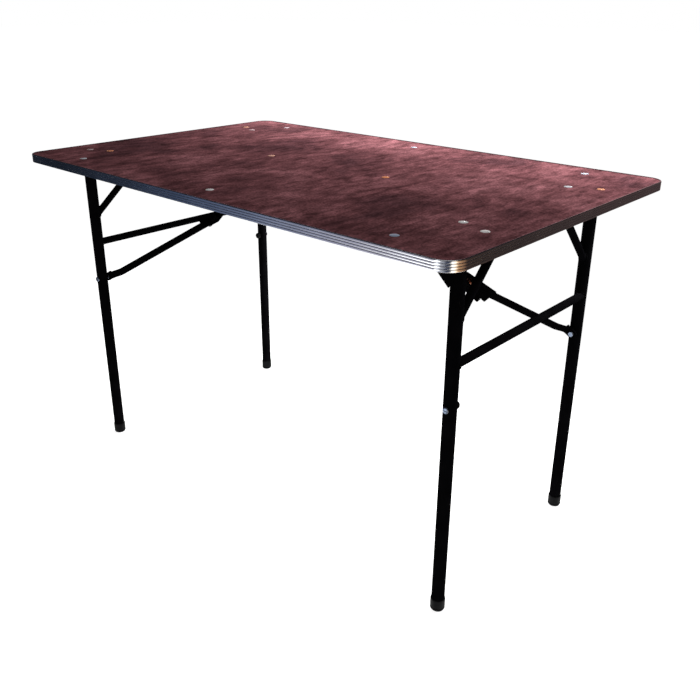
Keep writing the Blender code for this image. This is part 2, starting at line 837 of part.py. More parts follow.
def make_knee_bolt(frame, pivot, surface):
    """The knee's bolt, riveted to the arm's plate. It ends just short of the link."""
    near = KNEE_PLATE_MIDDLE - KNEE_PLATE_THICKNESS / 2 - SEAT_GAP
    far = KNEE_PLATE_MIDDLE + KNEE_PLATE_THICKNESS / 2 + SEAT_GAP
    profile = [
        (0, LINK_FAR_SIDE + KNEE_OPEN_GAP),
        (KNEE_BOLT_RADIUS, LINK_FAR_SIDE + KNEE_OPEN_GAP),
        (KNEE_BOLT_RADIUS, near - KNEE_HEAD_THICKNESS),
        (KNEE_HEAD_RADIUS, near - KNEE_HEAD_THICKNESS),
        (KNEE_HEAD_RADIUS, near),
        (KNEE_BOLT_RADIUS, near),
        (KNEE_BOLT_RADIUS, far),
        (KNEE_HEAD_RADIUS, far),
        (KNEE_HEAD_RADIUS, far + KNEE_HEAD_THICKNESS / 2),
        (KNEE_BOLT_RADIUS, far + KNEE_HEAD_THICKNESS),
        (0, far + KNEE_HEAD_THICKNESS),
    ]
    bolt = lathe(f"knee_bolt_{frame['side']}", profile, SMALL_STEPS, surface)
    bolt.data.transform(Matrix.Rotation(-math.pi / 2, 4, "X"))
    bolt.location = knee_place(frame)
    carry(half_turned(bolt, frame), pivot)


def make_link(frame, pivot, surface):
    """The upper half of the brace: a channel that ends in a tongue past the knee."""
    name = f"brace_link_{frame['side']}"
    sheet = LINK_SHEET
    up = LINK_WEB_RISE
    down = LINK_FLANGE_FALL
    shoulder = LINK_LENGTH - LINK_SHOULDER
    end = LINK_LENGTH + LINK_OVERRUN
    tongue = end - sheet
    far_low = LINK_FAR_SIDE - sheet
    around_pin = arc((0, 0), LINK_END_RADIUS, 3 * math.pi / 2, math.pi / 2, SMALL_STEPS)
    outline = around_pin + [(LINK_WEB_SETBACK, up), (end, up), (end, 0)]
    outline += [(LINK_LENGTH + down, -down), (LINK_WEB_SETBACK, -down)]
    link = side_prism(name, outline, far_low, LINK_FAR_SIDE, surface)
    outline = around_pin + [(LINK_WEB_SETBACK, up), (shoulder, up), (shoulder, -down)]
    outline += [(LINK_WEB_SETBACK, -down)]
    low = -LINK_NEAR_SIDE
    near_flange = side_prism(f"join_{name}_near", outline, low, low + sheet, None)
    web_low = low + sheet / 2
    web_high = LINK_FAR_SIDE - sheet / 2
    narrow = LINK_FAR_SIDE - LINK_TONGUE_WIDTH
    outline = [
        (LINK_WEB_SETBACK + sheet, web_low),
        (shoulder - sheet / 2, web_low),
        (shoulder - sheet / 2, narrow - sheet),
        (shoulder + sheet, narrow),
        (tongue, narrow),
        (tongue, web_high),
        (LINK_WEB_SETBACK + sheet, web_high),
    ]
    web = prism(f"join_{name}_web", outline, up - 5 * sheet / 4, up - sheet / 4, None)
    hole = rod(
        f"cut_{name}_pin",
        (0, low - sheet, 0),
        (0, LINK_FAR_SIDE + sheet, 0),
        PIN_RADIUS + SEAT_GAP,
        SMALL_STEPS,
        None,
    )
    place = (*around(frame, BRACKET_PIVOT_REACH, 0), BRACKET_PIVOT_Z)
    for piece in (link, near_flange, web, hole):
        leaned(piece, BRACE_ANGLE, place)
        carry(half_turned(piece, frame), pivot)
    join(link, near_flange)
    join(link, web)
    cut(link, hole)


def make_knee_nut(frame, pivot, surface):
    """The knee's nut, inside the link's far flange."""
    high = LINK_FAR_SIDE - LINK_SHEET - SEAT_GAP
    low = high - NUT_HEIGHT
    nut = lathe(
        f"knee_nut_{frame['side']}",
        [(0, low), (KNEE_HEAD_RADIUS, low), (KNEE_HEAD_RADIUS, high), (0, high)],
        SMALL_STEPS,
        surface,
    )
    nut.data.transform(Matrix.Rotation(-math.pi / 2, 4, "X"))
    nut.location = knee_place(frame)
    carry(half_turned(nut, frame), pivot)


def make_bracket(frame, pivot, surface):
    """The bracket under the top that the link turns in: a plate with two cheeks."""
    name = f"centre_bracket_{frame['side']}"
    high = BRACKET_PIVOT_DROP - SEAT_GAP
    low_side = -LINK_NEAR_SIDE + LINK_SHEET + BRACKET_SIDE_GAP
    high_side = LINK_FAR_SIDE - LINK_SHEET - BRACKET_SIDE_GAP
    start = BRACKET_BOLT_REACH - BRACKET_EDGE - BRACKET_PIVOT_REACH
    plate_low = (start, low_side + BRACKET_SHEET / 4, high - BRACKET_SHEET)
    plate_high = (BRACKET_CHEEK_RADIUS + BRACKET_SHEET / 4, BRACKET_EDGE, high)
    bracket = block(name, plate_low, plate_high, surface)
    outline = arc((0, 0), BRACKET_CHEEK_RADIUS, math.pi, 2 * math.pi, SMALL_STEPS)
    top = high - BRACKET_SHEET / 2
    outline += [(BRACKET_CHEEK_RADIUS, top), (-2 * BRACKET_CHEEK_RADIUS, top)]
    pieces = [bracket]
    sides = ((low_side, low_side + BRACKET_SHEET), (high_side - BRACKET_SHEET, high_side))
    for number, (low, far) in enumerate(sides):
        pieces.append(side_prism(f"join_{name}_{number}", outline, low, far, None))
    pin_hole = rod(
        f"cut_{name}_pin",
        (0, -LINK_NEAR_SIDE, 0),
        (0, LINK_FAR_SIDE, 0),
        PIN_RADIUS + SEAT_GAP,
        SMALL_STEPS,
        None,
    )
    bolt_x = BRACKET_BOLT_REACH - BRACKET_PIVOT_REACH
    bolt_hole = rod(
        f"cut_{name}_bolt",
        (bolt_x, 0, 0),
        (bolt_x, 0, high + CUT_OVERRUN),
        SHANK_RADIUS + SEAT_GAP,
        SMALL_STEPS,
        None,
    )
    pieces += [pin_hole, bolt_hole]
    place = (*around(frame, BRACKET_PIVOT_REACH, 0), BRACKET_PIVOT_Z)
    for piece in pieces:
        leaned(piece, 0, place)
        carry(half_turned(piece, frame), pivot)
    join(bracket, pieces[1])
    join(bracket, pieces[2])
    cut(bracket, pin_hole)
    cut(bracket, bolt_hole)


def make_bracket_pin(frame, pivot, surface):
    """The pin through the link and its bracket, with a head on each side."""
    low = -LINK_NEAR_SIDE - SEAT_GAP
    high = LINK_FAR_SIDE + SEAT_GAP
    profile = [
        (0, low - PIN_HEAD_THICKNESS),
        (PIN_HEAD_RADIUS, low - PIN_HEAD_THICKNESS),
        (PIN_HEAD_RADIUS, low),
        (PIN_RADIUS, low),
        (PIN_RADIUS, high),
        (PIN_HEAD_RADIUS, high),
        (PIN_HEAD_RADIUS, high + PIN_HEAD_THICKNESS),
        (0, high + PIN_HEAD_THICKNESS),
    ]
    pin = lathe(f"bracket_pin_{frame['side']}", profile, SMALL_STEPS, surface)
    pin.data.transform(Matrix.Rotation(-math.pi / 2, 4, "X"))
    pin.location = (*around(frame, BRACKET_PIVOT_REACH, 0), BRACKET_PIVOT_Z)
    carry(half_turned(pin, frame), pivot)


def main():
    """Build the whole table at rest: standing, with both braces straight."""
    clear_scene()
    film = film_material()
    aluminium = aluminium_material()
    paint = paint_material()
    zinc = zinc_material()
    rubber = rubber_material()
    make_board(film)
    make_edging(aluminium)
    make_top_bolts(zinc)
    make_buffers(rubber)
    for frame in FRAMES:
        side = frame["side"]
        hinge = empty(f"{side}_frame_axis", (*around(frame, HINGE_X, 0), HINGE_Z))
        arm_axis = empty(f"{side}_arm_axis", (*around(frame, HINGE_X, 0), BRACE_PIVOT_Z))
        link_place = (*around(frame, BRACKET_PIVOT_REACH, 0), BRACKET_PIVOT_Z)
        link_axis = empty(f"{side}_link_axis", link_place)
        make_saddles(frame, paint)
        make_legs(frame, hinge, paint)
        make_cross_tubes(frame, hinge, paint)
        make_struts(frame, hinge, paint)
        make_feet(frame, hinge, rubber)
        make_leg_bolts(frame, hinge, zinc, rubber)
        make_arm(frame, arm_axis, paint)
        make_knee_bolt(frame, arm_axis, zinc)
        make_link(frame, link_axis, paint)
        make_knee_nut(frame, link_axis, zinc)
        make_bracket(frame, link_axis, paint)
        make_bracket_pin(frame, link_axis, zinc)


if __name__ == "__main__":
    main()
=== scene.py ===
"""Looks of a folding banquet table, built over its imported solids. Metres, +Z up, the floor at Z = 0.

The file is laid out as an add-on. Sizes and colours are properties of the scene, each group of
pieces has its own operator, and main() makes them in order.
"""

import math

import bmesh
import bpy
from mathutils import Matrix, Vector


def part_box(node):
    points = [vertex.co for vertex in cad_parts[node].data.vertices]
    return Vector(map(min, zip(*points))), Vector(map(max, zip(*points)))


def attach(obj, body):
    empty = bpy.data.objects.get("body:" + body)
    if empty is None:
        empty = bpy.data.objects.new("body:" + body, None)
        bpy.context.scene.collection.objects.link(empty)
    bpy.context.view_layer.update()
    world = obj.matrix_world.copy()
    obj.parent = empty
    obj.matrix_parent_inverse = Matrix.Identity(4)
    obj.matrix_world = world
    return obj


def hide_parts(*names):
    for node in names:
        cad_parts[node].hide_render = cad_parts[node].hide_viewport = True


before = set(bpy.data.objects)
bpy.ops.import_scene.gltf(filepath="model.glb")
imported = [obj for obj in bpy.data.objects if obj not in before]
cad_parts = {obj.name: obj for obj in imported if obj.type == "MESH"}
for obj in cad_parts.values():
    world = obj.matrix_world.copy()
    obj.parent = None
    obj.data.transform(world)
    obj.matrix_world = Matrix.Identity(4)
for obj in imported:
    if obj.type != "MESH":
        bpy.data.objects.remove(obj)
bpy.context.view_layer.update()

bl_info = {
    "name": "Folding Banquet Table",
    "version": (1, 0, 0),
    "blender": (4, 5, 0),
    "location": "3D View > Sidebar > Table",
    "description": "Makes a folding banquet table with a film-faced top and tube frames",
    "category": "Object",
}

# The top and what is bolted to it
CORNER_RADIUS = 0.036
EDGING_WALL = 0.0020
LIP_WIDTH = 0.0032
LIP_THICKNESS = 0.0008
SEAT_GAP = 0.0003
HOLE_OVERRUN = 0.002
HEAD_THICKNESS = 0.0022
HEAD_BELOW_LIP = 0.0003
SHANK_RADIUS = 0.0030
SHANK_BELOW_BOARD = 0.0128
NUT_RADIUS = 0.0055
NUT_HEIGHT = 0.0048
NUT_ABOVE_END = 0.0020
BUFFER_RECESS_RADIUS = 0.0058
BUFFER_BORE_RADIUS = 0.0033
BUFFER_WEB = 0.0035
BUFFER_ROUNDING = 0.0018
SADDLE_SHEET = 0.0020
SADDLE_RUNNING_GAP = 0.0004
SADDLE_INNER_BEND = 0.0012
SADDLE_OUTER_BEND = 0.0020
SADDLE_STRAIGHT = 0.003
RIB_FULLNESS = 2.6

# The leg frames
LEG_RADIUS = 0.0130
LEG_WALL = 0.0015
LEG_RIM = 0.0005
PIVOT_RADIUS = 0.0125
STRETCHER_RADIUS = 0.0086
STRUT_RADIUS = 0.0079
STRUT_FOOT = {"right": 0.600, "left": 0.602}
STRUT_REACH = {"right": 0.1210, "left": 0.1380}
TUBE_WALL = 0.0013
BEAD_OFFSET = 0.0004
BEAD_NOISE_SCALE = 240.0
LEG_BOLT_RADIUS = 0.0035
LEG_BOLT_HEAD_RADIUS = 0.0062
LEG_BOLT_HEAD_THICKNESS = 0.0026
LEG_NUT_THICKNESS = 0.0042
CAP_RADIUS = 0.0085
CAP_LENGTH = 0.0090
CAP_ROUNDING = 0.0022
FOOT_WALL = 0.0012
FOOT_FLOOR = 0.0030
FOOT_HOLLOW = 0.0012
FOOT_BEVEL = 0.0034
# Depth and height of each corner of the groove round a foot
FOOT_GROOVE = ((0.0, 0.0060), (0.0007, 0.0066), (0.0007, 0.0080), (0.0, 0.0086))
FOOT_RIM_WIDTH = 0.0006
FOOT_RIM_HEIGHT = 0.0012
FOOT_ROUNDING = 0.0008

# The braces
ARM_HALF_WIDTH = 0.0053
ARM_HALF_HEIGHT = 0.0092
ARM_END_RADIUS = 0.0100
ARM_END_THICKNESS = 0.0040
ARM_LEG_CLEARANCE = 0.0030
ARM_SAG_AT_LEG = 0.0094
ARM_SAG_AT_KNEE = 0.0038
ARM_CHAMFER = 0.0008
ARM_PRESSED_HALF_HEIGHT = ARM_END_RADIUS * 0.94
ARM_PRESSED_HALF_WIDTH = ARM_END_THICKNESS * 0.62
ARM_PRESSED_SQUARENESS = 1.4
ARM_BLEND_STATIONS = (0.0, 0.004, 0.008, 0.012, 0.016, 0.020, 0.025, 0.030)
KNEE_PLATE_THICKNESS = 0.0030
KNEE_PLATE_MIDDLE = 0.0235
KNEE_PLATE_RADIUS = 0.0090
KNEE_PLATE_REACH = 0.0510
KNEE_PLATE_RISE = 0.0370
KNEE_PLATE_ROUNDING = 0.004
KNEE_NOSE_REACH = 0.0190
KNEE_NOSE_RISE = 0.0065
KNEE_FLANGE_WIDTH = 0.0150
KNEE_WELD_SETBACK = 0.004
KNEE_WELD_HALF_LENGTH = ARM_HALF_HEIGHT * 1.5
KNEE_WELD_HALF_HEIGHT = ARM_HALF_HEIGHT * 1.02
KNEE_WELD_SHARE = 0.8
LINK_SHEET = 0.0020
LINK_NEAR_SIDE = 0.0360
LINK_FAR_SIDE = 0.0040
LINK_WEB_RISE = 0.0105
LINK_FLANGE_FALL = 0.0100
LINK_END_RADIUS = 0.0100
LINK_WEB_SETBACK = 0.0125
LINK_OVERRUN = 0.0450
LINK_TONGUE_WIDTH = 0.0150
LINK_SHOULDER = 0.0070
KNEE_BOLT_RADIUS = 0.0045
KNEE_BOLT_ROUNDING = 0.0004
KNEE_HEAD_RADIUS = 0.0080
KNEE_HEAD_THICKNESS = 0.0032
KNEE_HEAD_ROUNDING = 0.0010
KNEE_OPEN_GAP = 0.0010
BRACKET_SHEET = 0.0020
BRACKET_EDGE = 0.0140
BRACKET_CHEEK_RADIUS = 0.0090
BRACKET_SIDE_GAP = 0.0008
PIN_RADIUS = 0.0035
PIN_HEAD_RADIUS = 0.0060
PIN_HEAD_THICKNESS = 0.0020

# How finely rounds are cut, and where shading breaks
ROUND_STEPS = 48
HEAD_STEPS = 40
PIN_STEPS = 36
WASHER_STEPS = 32
BEND_STEPS = 28
END_STEPS = 24
SHANK_STEPS = 20
BEAD_SIDES = 10
RIB_STEPS = 12
SHARP_ANGLE = math.radians(38.0)
EDGING_SHARP_ANGLE = math.radians(50.0)
BEVEL_ANGLE = math.radians(40.0)
FLAT_ANGLE = math.radians(0.5)
FULL_TURN = 2 * math.pi
# The most by which a copy is turned at random: bolts, then rubber and plastic pieces
BOLT_TURN = FULL_TURN
PLASTIC_TURN = 6.28


def middle(node):
    """The middle of a solid's box."""
    low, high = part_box(node)
    return (low + high) / 2


SIDES = ("right", "left")
ENDS = ("front", "back")
BOARD_LOW, BOARD_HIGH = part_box("tabletop_board")
EDGING_LOW, EDGING_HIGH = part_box("edge_trim")
HINGE = {side: middle(f"pivot_tube_{side}") for side in SIDES}
KNEE = {side: middle(f"knee_bolt_{side}") for side in SIDES}
PIN = {side: middle(f"bracket_pin_{side}") for side in SIDES}
PIVOT = {side: middle(f"brace_pivot_bolt_{side}") for side in SIDES}
SPREAD = {side: middle(f"leg_{side}_back").y for side in SIDES}
TOP_BOLTS = [f"saddle_bolt_{side}_{number}" for side in SIDES for number in range(1, 5)]
TOP_BOLTS += [f"bracket_bolt_{side}" for side in SIDES]
TOP_BOLTS += [f"buffer_bolt_{number}" for number in range(1, 7)]

# How each bolt head has aged: 0 is bright, 0.5 dull and bluish, 1 rusty
LEG_BOLT_TONE = 0.5
KNEE_BOLT_TONE = 0.85
BOLT_TONES = {
    "saddle_bolt_left_1": 0.62,
    "saddle_bolt_left_2": 0.80,
    "saddle_bolt_left_3": 0.95,
    "saddle_bolt_left_4": 0.62,
    "saddle_bolt_right_1": 0.10,
    "saddle_bolt_right_2": 0.05,
    "saddle_bolt_right_3": 0.35,
    "saddle_bolt_right_4": 0.90,
    "bracket_bolt_left": 0.75,
    "bracket_bolt_right": 1.0,
    "buffer_bolt_1": 0.35,
    "buffer_bolt_2": 0.60,
    "buffer_bolt_3": 0.15,
    "buffer_bolt_4": 0.45,
    "buffer_bolt_5": 0.50,
    "buffer_bolt_6": 0.40,
}


# What the colour properties share
COLOUR = {"subtype": "COLOR", "min": 0.0, "max": 1.0}


class EdgingProperties(bpy.types.PropertyGroup):
    """Sizes of the aluminium edging."""

    rib_count: bpy.props.IntProperty(
        name="Ribs", description="Ribs along the face of the edging", default=4, min=1, max=8
    )
    groove_depth: bpy.props.FloatProperty(
        name="Groove Depth",
        description="How deep the grooves between the ribs are",
        default=0.0009,
        min=0.0001,
        max=0.0015,
        unit="LENGTH",
    )
    joint_gap: bpy.props.FloatProperty(
        name="Joint Gap",
        description="The gap at the back where the two ends of the edging meet",
        default=0.0004,
        min=0.0,
        max=0.003,
        unit="LENGTH",
    )
    corner_steps: bpy.props.IntProperty(
        name="Corner Steps", description="Steps round each corner", default=22, min=4, max=64
    )


class FrameProperties(bpy.types.PropertyGroup):
    """Sizes of the welds and of the sheet metal's edges."""

    bead_radius: bpy.props.FloatProperty(
        name="Weld Radius",
        description="Radius of the weld bead where two tubes meet",
        default=0.0019,
        min=0.0005,
        max=0.004,
        unit="LENGTH",
    )
    bead_pitch: bpy.props.FloatProperty(
        name="Weld Ripple Pitch",
        description="Distance from one ripple of the weld to the next",
        default=0.0024,
        min=0.0008,
        max=0.008,
        unit="LENGTH",
    )
    bead_ripple: bpy.props.FloatProperty(
        name="Weld Ripple",
        description="How far the bead swells at each ripple, as a share of its radius",
        default=0.16,
        min=0.0,
        max=0.5,
        subtype="FACTOR",
    )
    sheet_edge: bpy.props.FloatProperty(
        name="Sheet Edge",
        description="Rounding on the edges of the pressed steel pieces",
        default=0.0004,
        min=0.0,
        max=0.001,
        unit="LENGTH",
    )


class ColourProperties(bpy.types.PropertyGroup):
    """Colours of the finishes."""

    film: bpy.props.FloatVectorProperty(
        name="Film", description="The film on the plywood", default=(0.063, 0.0240, 0.0268), **COLOUR
    )
    film_dark: bpy.props.FloatVectorProperty(
        name="Film Stains",
        description="The darker blotches in the film",
        default=(0.035, 0.0145, 0.0168),
        **COLOUR,
    )
    film_worn: bpy.props.FloatVectorProperty(
        name="Film Wear",
        description="The rubbed, paler patches of the film",
        default=(0.106, 0.0425, 0.0475),
        **COLOUR,
    )
    aluminium: bpy.props.FloatVectorProperty(
        name="Aluminium", description="The edging", default=(0.74, 0.76, 0.80), **COLOUR
    )
    paint: bpy.props.FloatVectorProperty(
        name="Paint",
        description="The black paint of the frames and braces",
        default=(0.0029, 0.0027, 0.0033),
        **COLOUR,
    )
    steel: bpy.props.FloatVectorProperty(
        name="Bolt Steel", description="The plated bolts and nuts", default=(0.66, 0.66, 0.65), **COLOUR
    )
    plastic: bpy.props.FloatVectorProperty(
        name="Plastic",
        description="The feet, caps and buffers",
        default=(0.0036, 0.0036, 0.0040),
        **COLOUR,
    )


class StageProperties(bpy.types.PropertyGroup):
    """The camera, the floor and the lamps."""

    lens: bpy.props.FloatProperty(
        name="Lens", description="Focal length in millimetres", default=40.31, min=10.0, max=200.0
    )
    shift_x: bpy.props.FloatProperty(
        name="Shift X", description="Sideways shift of the camera", default=0.0089
    )
    shift_y: bpy.props.FloatProperty(
        name="Shift Y", description="Upward shift of the camera", default=-0.0420
    )
    floor: bpy.props.FloatVectorProperty(
        name="Floor", description="The plain floor", default=(0.55, 0.55, 0.55), **COLOUR
    )
    world: bpy.props.FloatProperty(
        name="World", description="Strength of the soft light all round", default=0.32, min=0.0
    )
    key: bpy.props.FloatProperty(
        name="Key Lamp", description="Power of the lamp in front", default=22.0, min=0.0, unit="POWER"
    )
    back: bpy.props.FloatProperty(
        name="Back Lamp", description="Power of the lamp behind", default=45.0, min=0.0, unit="POWER"
    )


# Node trees


def add(tree, kind, **values):
    """Add a node. Each value is a setting of the node or, failing that, the value of an input."""
    made = tree.nodes.new(kind)
    for name, value in values.items():
        if hasattr(made, name):
            setattr(made, name, value)
        else:
            made.inputs[name.replace("_", " ")].default_value = value
    return made


def plug(tree, value, node, name):
    """Give a node's input a value: a number, a colour or another node's output."""
    socket = node.inputs[name]
    if isinstance(value, bpy.types.NodeSocket):
        tree.links.new(value, socket)
    else:
        socket.default_value = value


def maths(tree, operation, first, second=0.0):
    """A Math node on two values, each a number or an output."""
    made = add(tree, "ShaderNodeMath", operation=operation)
    plug(tree, first, made, 0)
    plug(tree, second, made, 1)
    return made.outputs[0]


def scaled(tree, value, factor, offset):
    """A value times a factor, plus an offset."""
    return maths(tree, "ADD", maths(tree, "MULTIPLY", value, factor), offset)


def placed(tree, source, scale):
    """Coordinates stretched by a Mapping node."""
    made = add(tree, "ShaderNodeMapping", Scale=scale)
    plug(tree, source, made, "Vector")
    return made.outputs[0]


def noise(tree, vector, scale, detail, roughness=0.55, distortion=0.0):
    """A noise value over coordinates."""
    made = add(tree, "ShaderNodeTexNoise", Scale=scale, Detail=detail, Roughness=roughness)
    made.inputs["Distortion"].default_value = distortion
    plug(tree, vector, made, "Vector")
    return made.outputs[0]


def ramp(tree, value, stops):
    """A colour ramp, from (position, colour or grey) stops."""
    made = tree.nodes.new("ShaderNodeValToRGB")
    marks = made.color_ramp.elements
    while len(marks) < len(stops):
        marks.new(0.5)
    for mark, (position, colour) in zip(marks, stops):
        mark.position = position
        grey = isinstance(colour, (int, float))
        mark.color = (colour, colour, colour, 1.0) if grey else (*colour, 1.0)
    plug(tree, value, made, "Fac")
    return made.outputs["Color"]


def blended(tree, share, first, second, way="MIX"):
    """Two colours blended by a share. Each is a colour or an output."""
    made = add(tree, "ShaderNodeMix", data_type="RGBA", blend_type=way)
    plug(tree, share, made, 0)
    for index, value in ((6, first), (7, second)):
        plug(tree, value if isinstance(value, bpy.types.NodeSocket) else (*value, 1.0), made, index)
    return made.outputs[2]


def bumped(tree, height, strength, distance, normal=None):
    """A bump from a height, on top of another one if given."""
    made = add(tree, "ShaderNodeBump", Strength=strength, Distance=distance)
    plug(tree, height, made, "Height")
    if normal is not None:
        plug(tree, normal, made, "Normal")
    return made.outputs["Normal"]


def surface(name, colour, **constants):
    """Start a material. Constants are set on the shader's own sockets."""
    made = bpy.data.materials.new(name)
    made.use_nodes = True
    made.diffuse_color = (*colour, 1.0)
    tree = made.node_tree
    shader = tree.nodes["Principled BSDF"]
    shader.inputs["Base Color"].default_value = (*colour, 1.0)
    for key, value in constants.items():
        shader.inputs[key.replace("_", " ")].default_value = value
    where = tree.nodes.new("ShaderNodeTexCoord").outputs["Object"]
    return made, tree, shader, where


# Finishes


def colours():
    """The colours on the current scene."""
    return bpy.context.scene.folding_table_colours


def film_surface(name, mottling):
    """The red-brown phenolic film: cloudy stains, rubbed patches, fibres and specks."""
    tint = colours()
    made, tree, shader, where = surface(name, tint.film, Specular_IOR_Level=0.0)
    wide = placed(tree, where, (1.0, 0.7, 1.0))
    streaked = placed(tree, where, (1.0, 0.42, 1.0))
    drawn = placed(tree, where, (150.0, 9.0, 1.0))
    clouds = noise(tree, wide, scale=7.0, detail=8.0, roughness=0.66, distortion=0.3)
    mottle = noise(tree, streaked, scale=46.0, detail=8.0, roughness=0.70, distortion=0.2)
    speckle = noise(tree, where, scale=230.0, detail=3.0, roughness=0.6)
    fibres = noise(tree, drawn, scale=1.0, detail=6.0, roughness=0.66, distortion=0.2)
    body = ramp(tree, clouds, [(0.36, tint.film_dark), (0.50, tint.film), (0.66, tint.film_worn)])
    patches = ramp(tree, mottle, [(0.36, 0.45), (0.50, 0.96), (0.64, 1.50)])
    lines = ramp(tree, fibres, [(0.30, 0.62), (0.50, 1.0), (0.70, 1.28)])
    dots = ramp(tree, speckle, [(0.34, 0.58), (0.61, 1.34)])
    for share, pattern in ((mottling, patches), (0.60, lines), (0.85, dots)):
        body = blended(tree, share, body, pattern, "MULTIPLY")
    plug(tree, body, shader, "Base Color")
    plug(tree, ramp(tree, mottle, [(0.38, 0.28), (0.62, 0.15)]), shader, "Roughness")
    normal = bumped(tree, fibres, strength=0.05, distance=0.0005)
    plug(tree, bumped(tree, speckle, 0.05, 0.0003, normal), shader, "Normal")
    return made


def plywood_surface():
    """The cut edge of the plywood in the bolt holes: thin layers, light and dark in turn."""
    made, tree, shader, where = surface("plywood_layers", (0.30, 0.19, 0.11), Roughness=0.8)
    split = tree.nodes.new("ShaderNodeSeparateXYZ")
    plug(tree, where, split, "Vector")
    layer_pitch = 0.0028
    turns = maths(tree, "MULTIPLY", split.outputs["Z"], FULL_TURN / layer_pitch)
    wave = scaled(tree, maths(tree, "SINE", turns), 0.5, 0.5)
    fibres = noise(tree, placed(tree, where, (40.0, 40.0, 900.0)), scale=1.0, detail=3.0)
    layers = ramp(tree, wave, [(0.42, (0.20, 0.11, 0.06)), (0.58, (0.36, 0.24, 0.14))])
    strands = ramp(tree, fibres, [(0.3, 0.7), (0.7, 1.1)])
    plug(tree, blended(tree, 0.6, layers, strands, "MULTIPLY"), shader, "Base Color")
    plug(tree, bumped(tree, fibres, strength=0.3, distance=0.0004), shader, "Normal")
    return made


def aluminium_surface():
    """Extruded aluminium: draw lines that run along the edging, handling marks and dull patches."""
    tint = colours()
    made, tree, shader, where = surface("edging_aluminium_drawn", tint.aluminium, Metallic=1.0)
    run = tree.nodes.new("ShaderNodeUVMap")
    run.uv_map = "Run"
    drawn = placed(tree, run.outputs[0], (2.5, 5200.0, 1.0))
    short = placed(tree, run.outputs[0], (90.0, 700.0, 1.0))
    lines = noise(tree, drawn, scale=1.0, detail=3.0, roughness=0.6)
    dull = noise(tree, where, scale=14.0, detail=5.0, roughness=0.6, distortion=0.4)
    nicks = noise(tree, short, scale=1.0, detail=4.0, roughness=0.6)
    body = ramp(tree, dull, [(0.30, [0.84 * value for value in tint.aluminium]), (0.65, tint.aluminium)])
    body = blended(tree, 0.22, body, ramp(tree, nicks, [(0.34, 0.70), (0.50, 1.0)]), "MULTIPLY")
    plug(tree, body, shader, "Base Color")
    gloss = scaled(tree, dull, 0.10, maths(tree, "MULTIPLY", lines, 0.08))
    plug(tree, maths(tree, "ADD", gloss, 0.07), shader, "Roughness")
    normal = bumped(tree, lines, strength=0.10, distance=0.0002)
    plug(tree, bumped(tree, nicks, 0.03, 0.0003, normal), shader, "Normal")
    return made


def paint_surface():
    """Black paint on steel: a light orange peel, dull patches and a few rubbed spots."""
    tint = colours()
    made, tree, shader, where = surface("frame_black_paint", tint.paint, Specular_IOR_Level=0.0)
    peel = noise(tree, where, scale=420.0, detail=2.0, roughness=0.5)
    dull = noise(tree, where, scale=21.0, detail=6.0, roughness=0.62, distortion=0.4)
    rubbed = noise(tree, placed(tree, where, (1.0, 1.0, 0.35)), scale=90.0, detail=5.0, roughness=0.7)
    lighter = [2.0 * value for value in tint.paint]
    body = ramp(tree, dull, [(0.35, tint.paint), (0.75, lighter)])
    spots = ramp(tree, rubbed, [(0.68, 0.0), (0.74, 1.0)])
    body = blended(tree, maths(tree, "MULTIPLY", spots, 0.5), body, (0.020, 0.018, 0.017))
    plug(tree, body, shader, "Base Color")
    plug(tree, scaled(tree, dull, 0.30, 0.26), shader, "Roughness")
    normal = bumped(tree, peel, strength=0.10, distance=0.0003)
    plug(tree, bumped(tree, rubbed, 0.05, 0.0003, normal), shader, "Normal")
    return made


def steel_surface(name, metallic):
    """Plated steel with dirt in it. Its tone turns it from bright through bluish to rusty."""
    tint = colours()
    made, tree, shader, where = surface(name, tint.steel, Metallic=metallic)
    tone = add(tree, "ShaderNodeAttribute", attribute_name="tone")
    dirt = noise(tree, where, scale=260.0, detail=5.0, roughness=0.65)
    ages = [
        (0.0, tint.steel),
        (0.30, (0.42, 0.42, 0.43)),
        (0.50, (0.22, 0.27, 0.36)),
        (0.72, (0.42, 0.24, 0.18)),
        (1.0, (0.55, 0.20, 0.085)),
    ]
    aged = ramp(tree, tone.outputs["Fac"], ages)
    body = blended(tree, 0.5, aged, ramp(tree, dirt, [(0.30, 0.45), (0.55, 1.0)]), "MULTIPLY")
    plug(tree, body, shader, "Base Color")
    plug(tree, scaled(tree, dirt, 0.30, 0.20), shader, "Roughness")
    plug(tree, bumped(tree, dirt, strength=0.12, distance=0.0002), shader, "Normal")
    return made


def plastic_surface(name, gloss, grain):
    """Moulded black plastic or rubber with a fine grain and dust in it."""
    tint = colours()
    made, tree, shader, where = surface(name, tint.plastic, Specular_IOR_Level=0.06)
    fine = noise(tree, where, scale=grain, detail=3.0, roughness=0.6)
    dust = noise(tree, where, scale=45.0, detail=6.0, roughness=0.65)
    dusty = [3.2 * value for value in tint.plastic]
    plug(tree, ramp(tree, dust, [(0.40, tint.plastic), (0.75, dusty)]), shader, "Base Color")
    plug(tree, scaled(tree, dust, 0.25, gloss), shader, "Roughness")
    plug(tree, bumped(tree, fine, strength=0.25, distance=0.0003), shader, "Normal")
    return made


FINISHES = {
    "film_top": lambda: film_surface("film_top", mottling=0.90),
    "film_under": lambda: film_surface("film_under", mottling=0.4),
    "plywood_layers": plywood_surface,
    "edging_aluminium": aluminium_surface,
    "black_paint": paint_surface,
    "bolt_steel": lambda: steel_surface("bolt_plated_steel", metallic=0.90),
    "bolt_head": lambda: steel_surface("bolt_head_worn_steel", metallic=0.30),
    "foot_plastic": lambda: plastic_surface("foot_black_plastic", gloss=0.38, grain=700.0),
    "cap_plastic": lambda: plastic_surface("cap_black_plastic", gloss=0.26, grain=900.0),
    "buffer_rubber": lambda: plastic_surface("buffer_black_rubber", gloss=0.55, grain=500.0),
}
made_finishes = {}


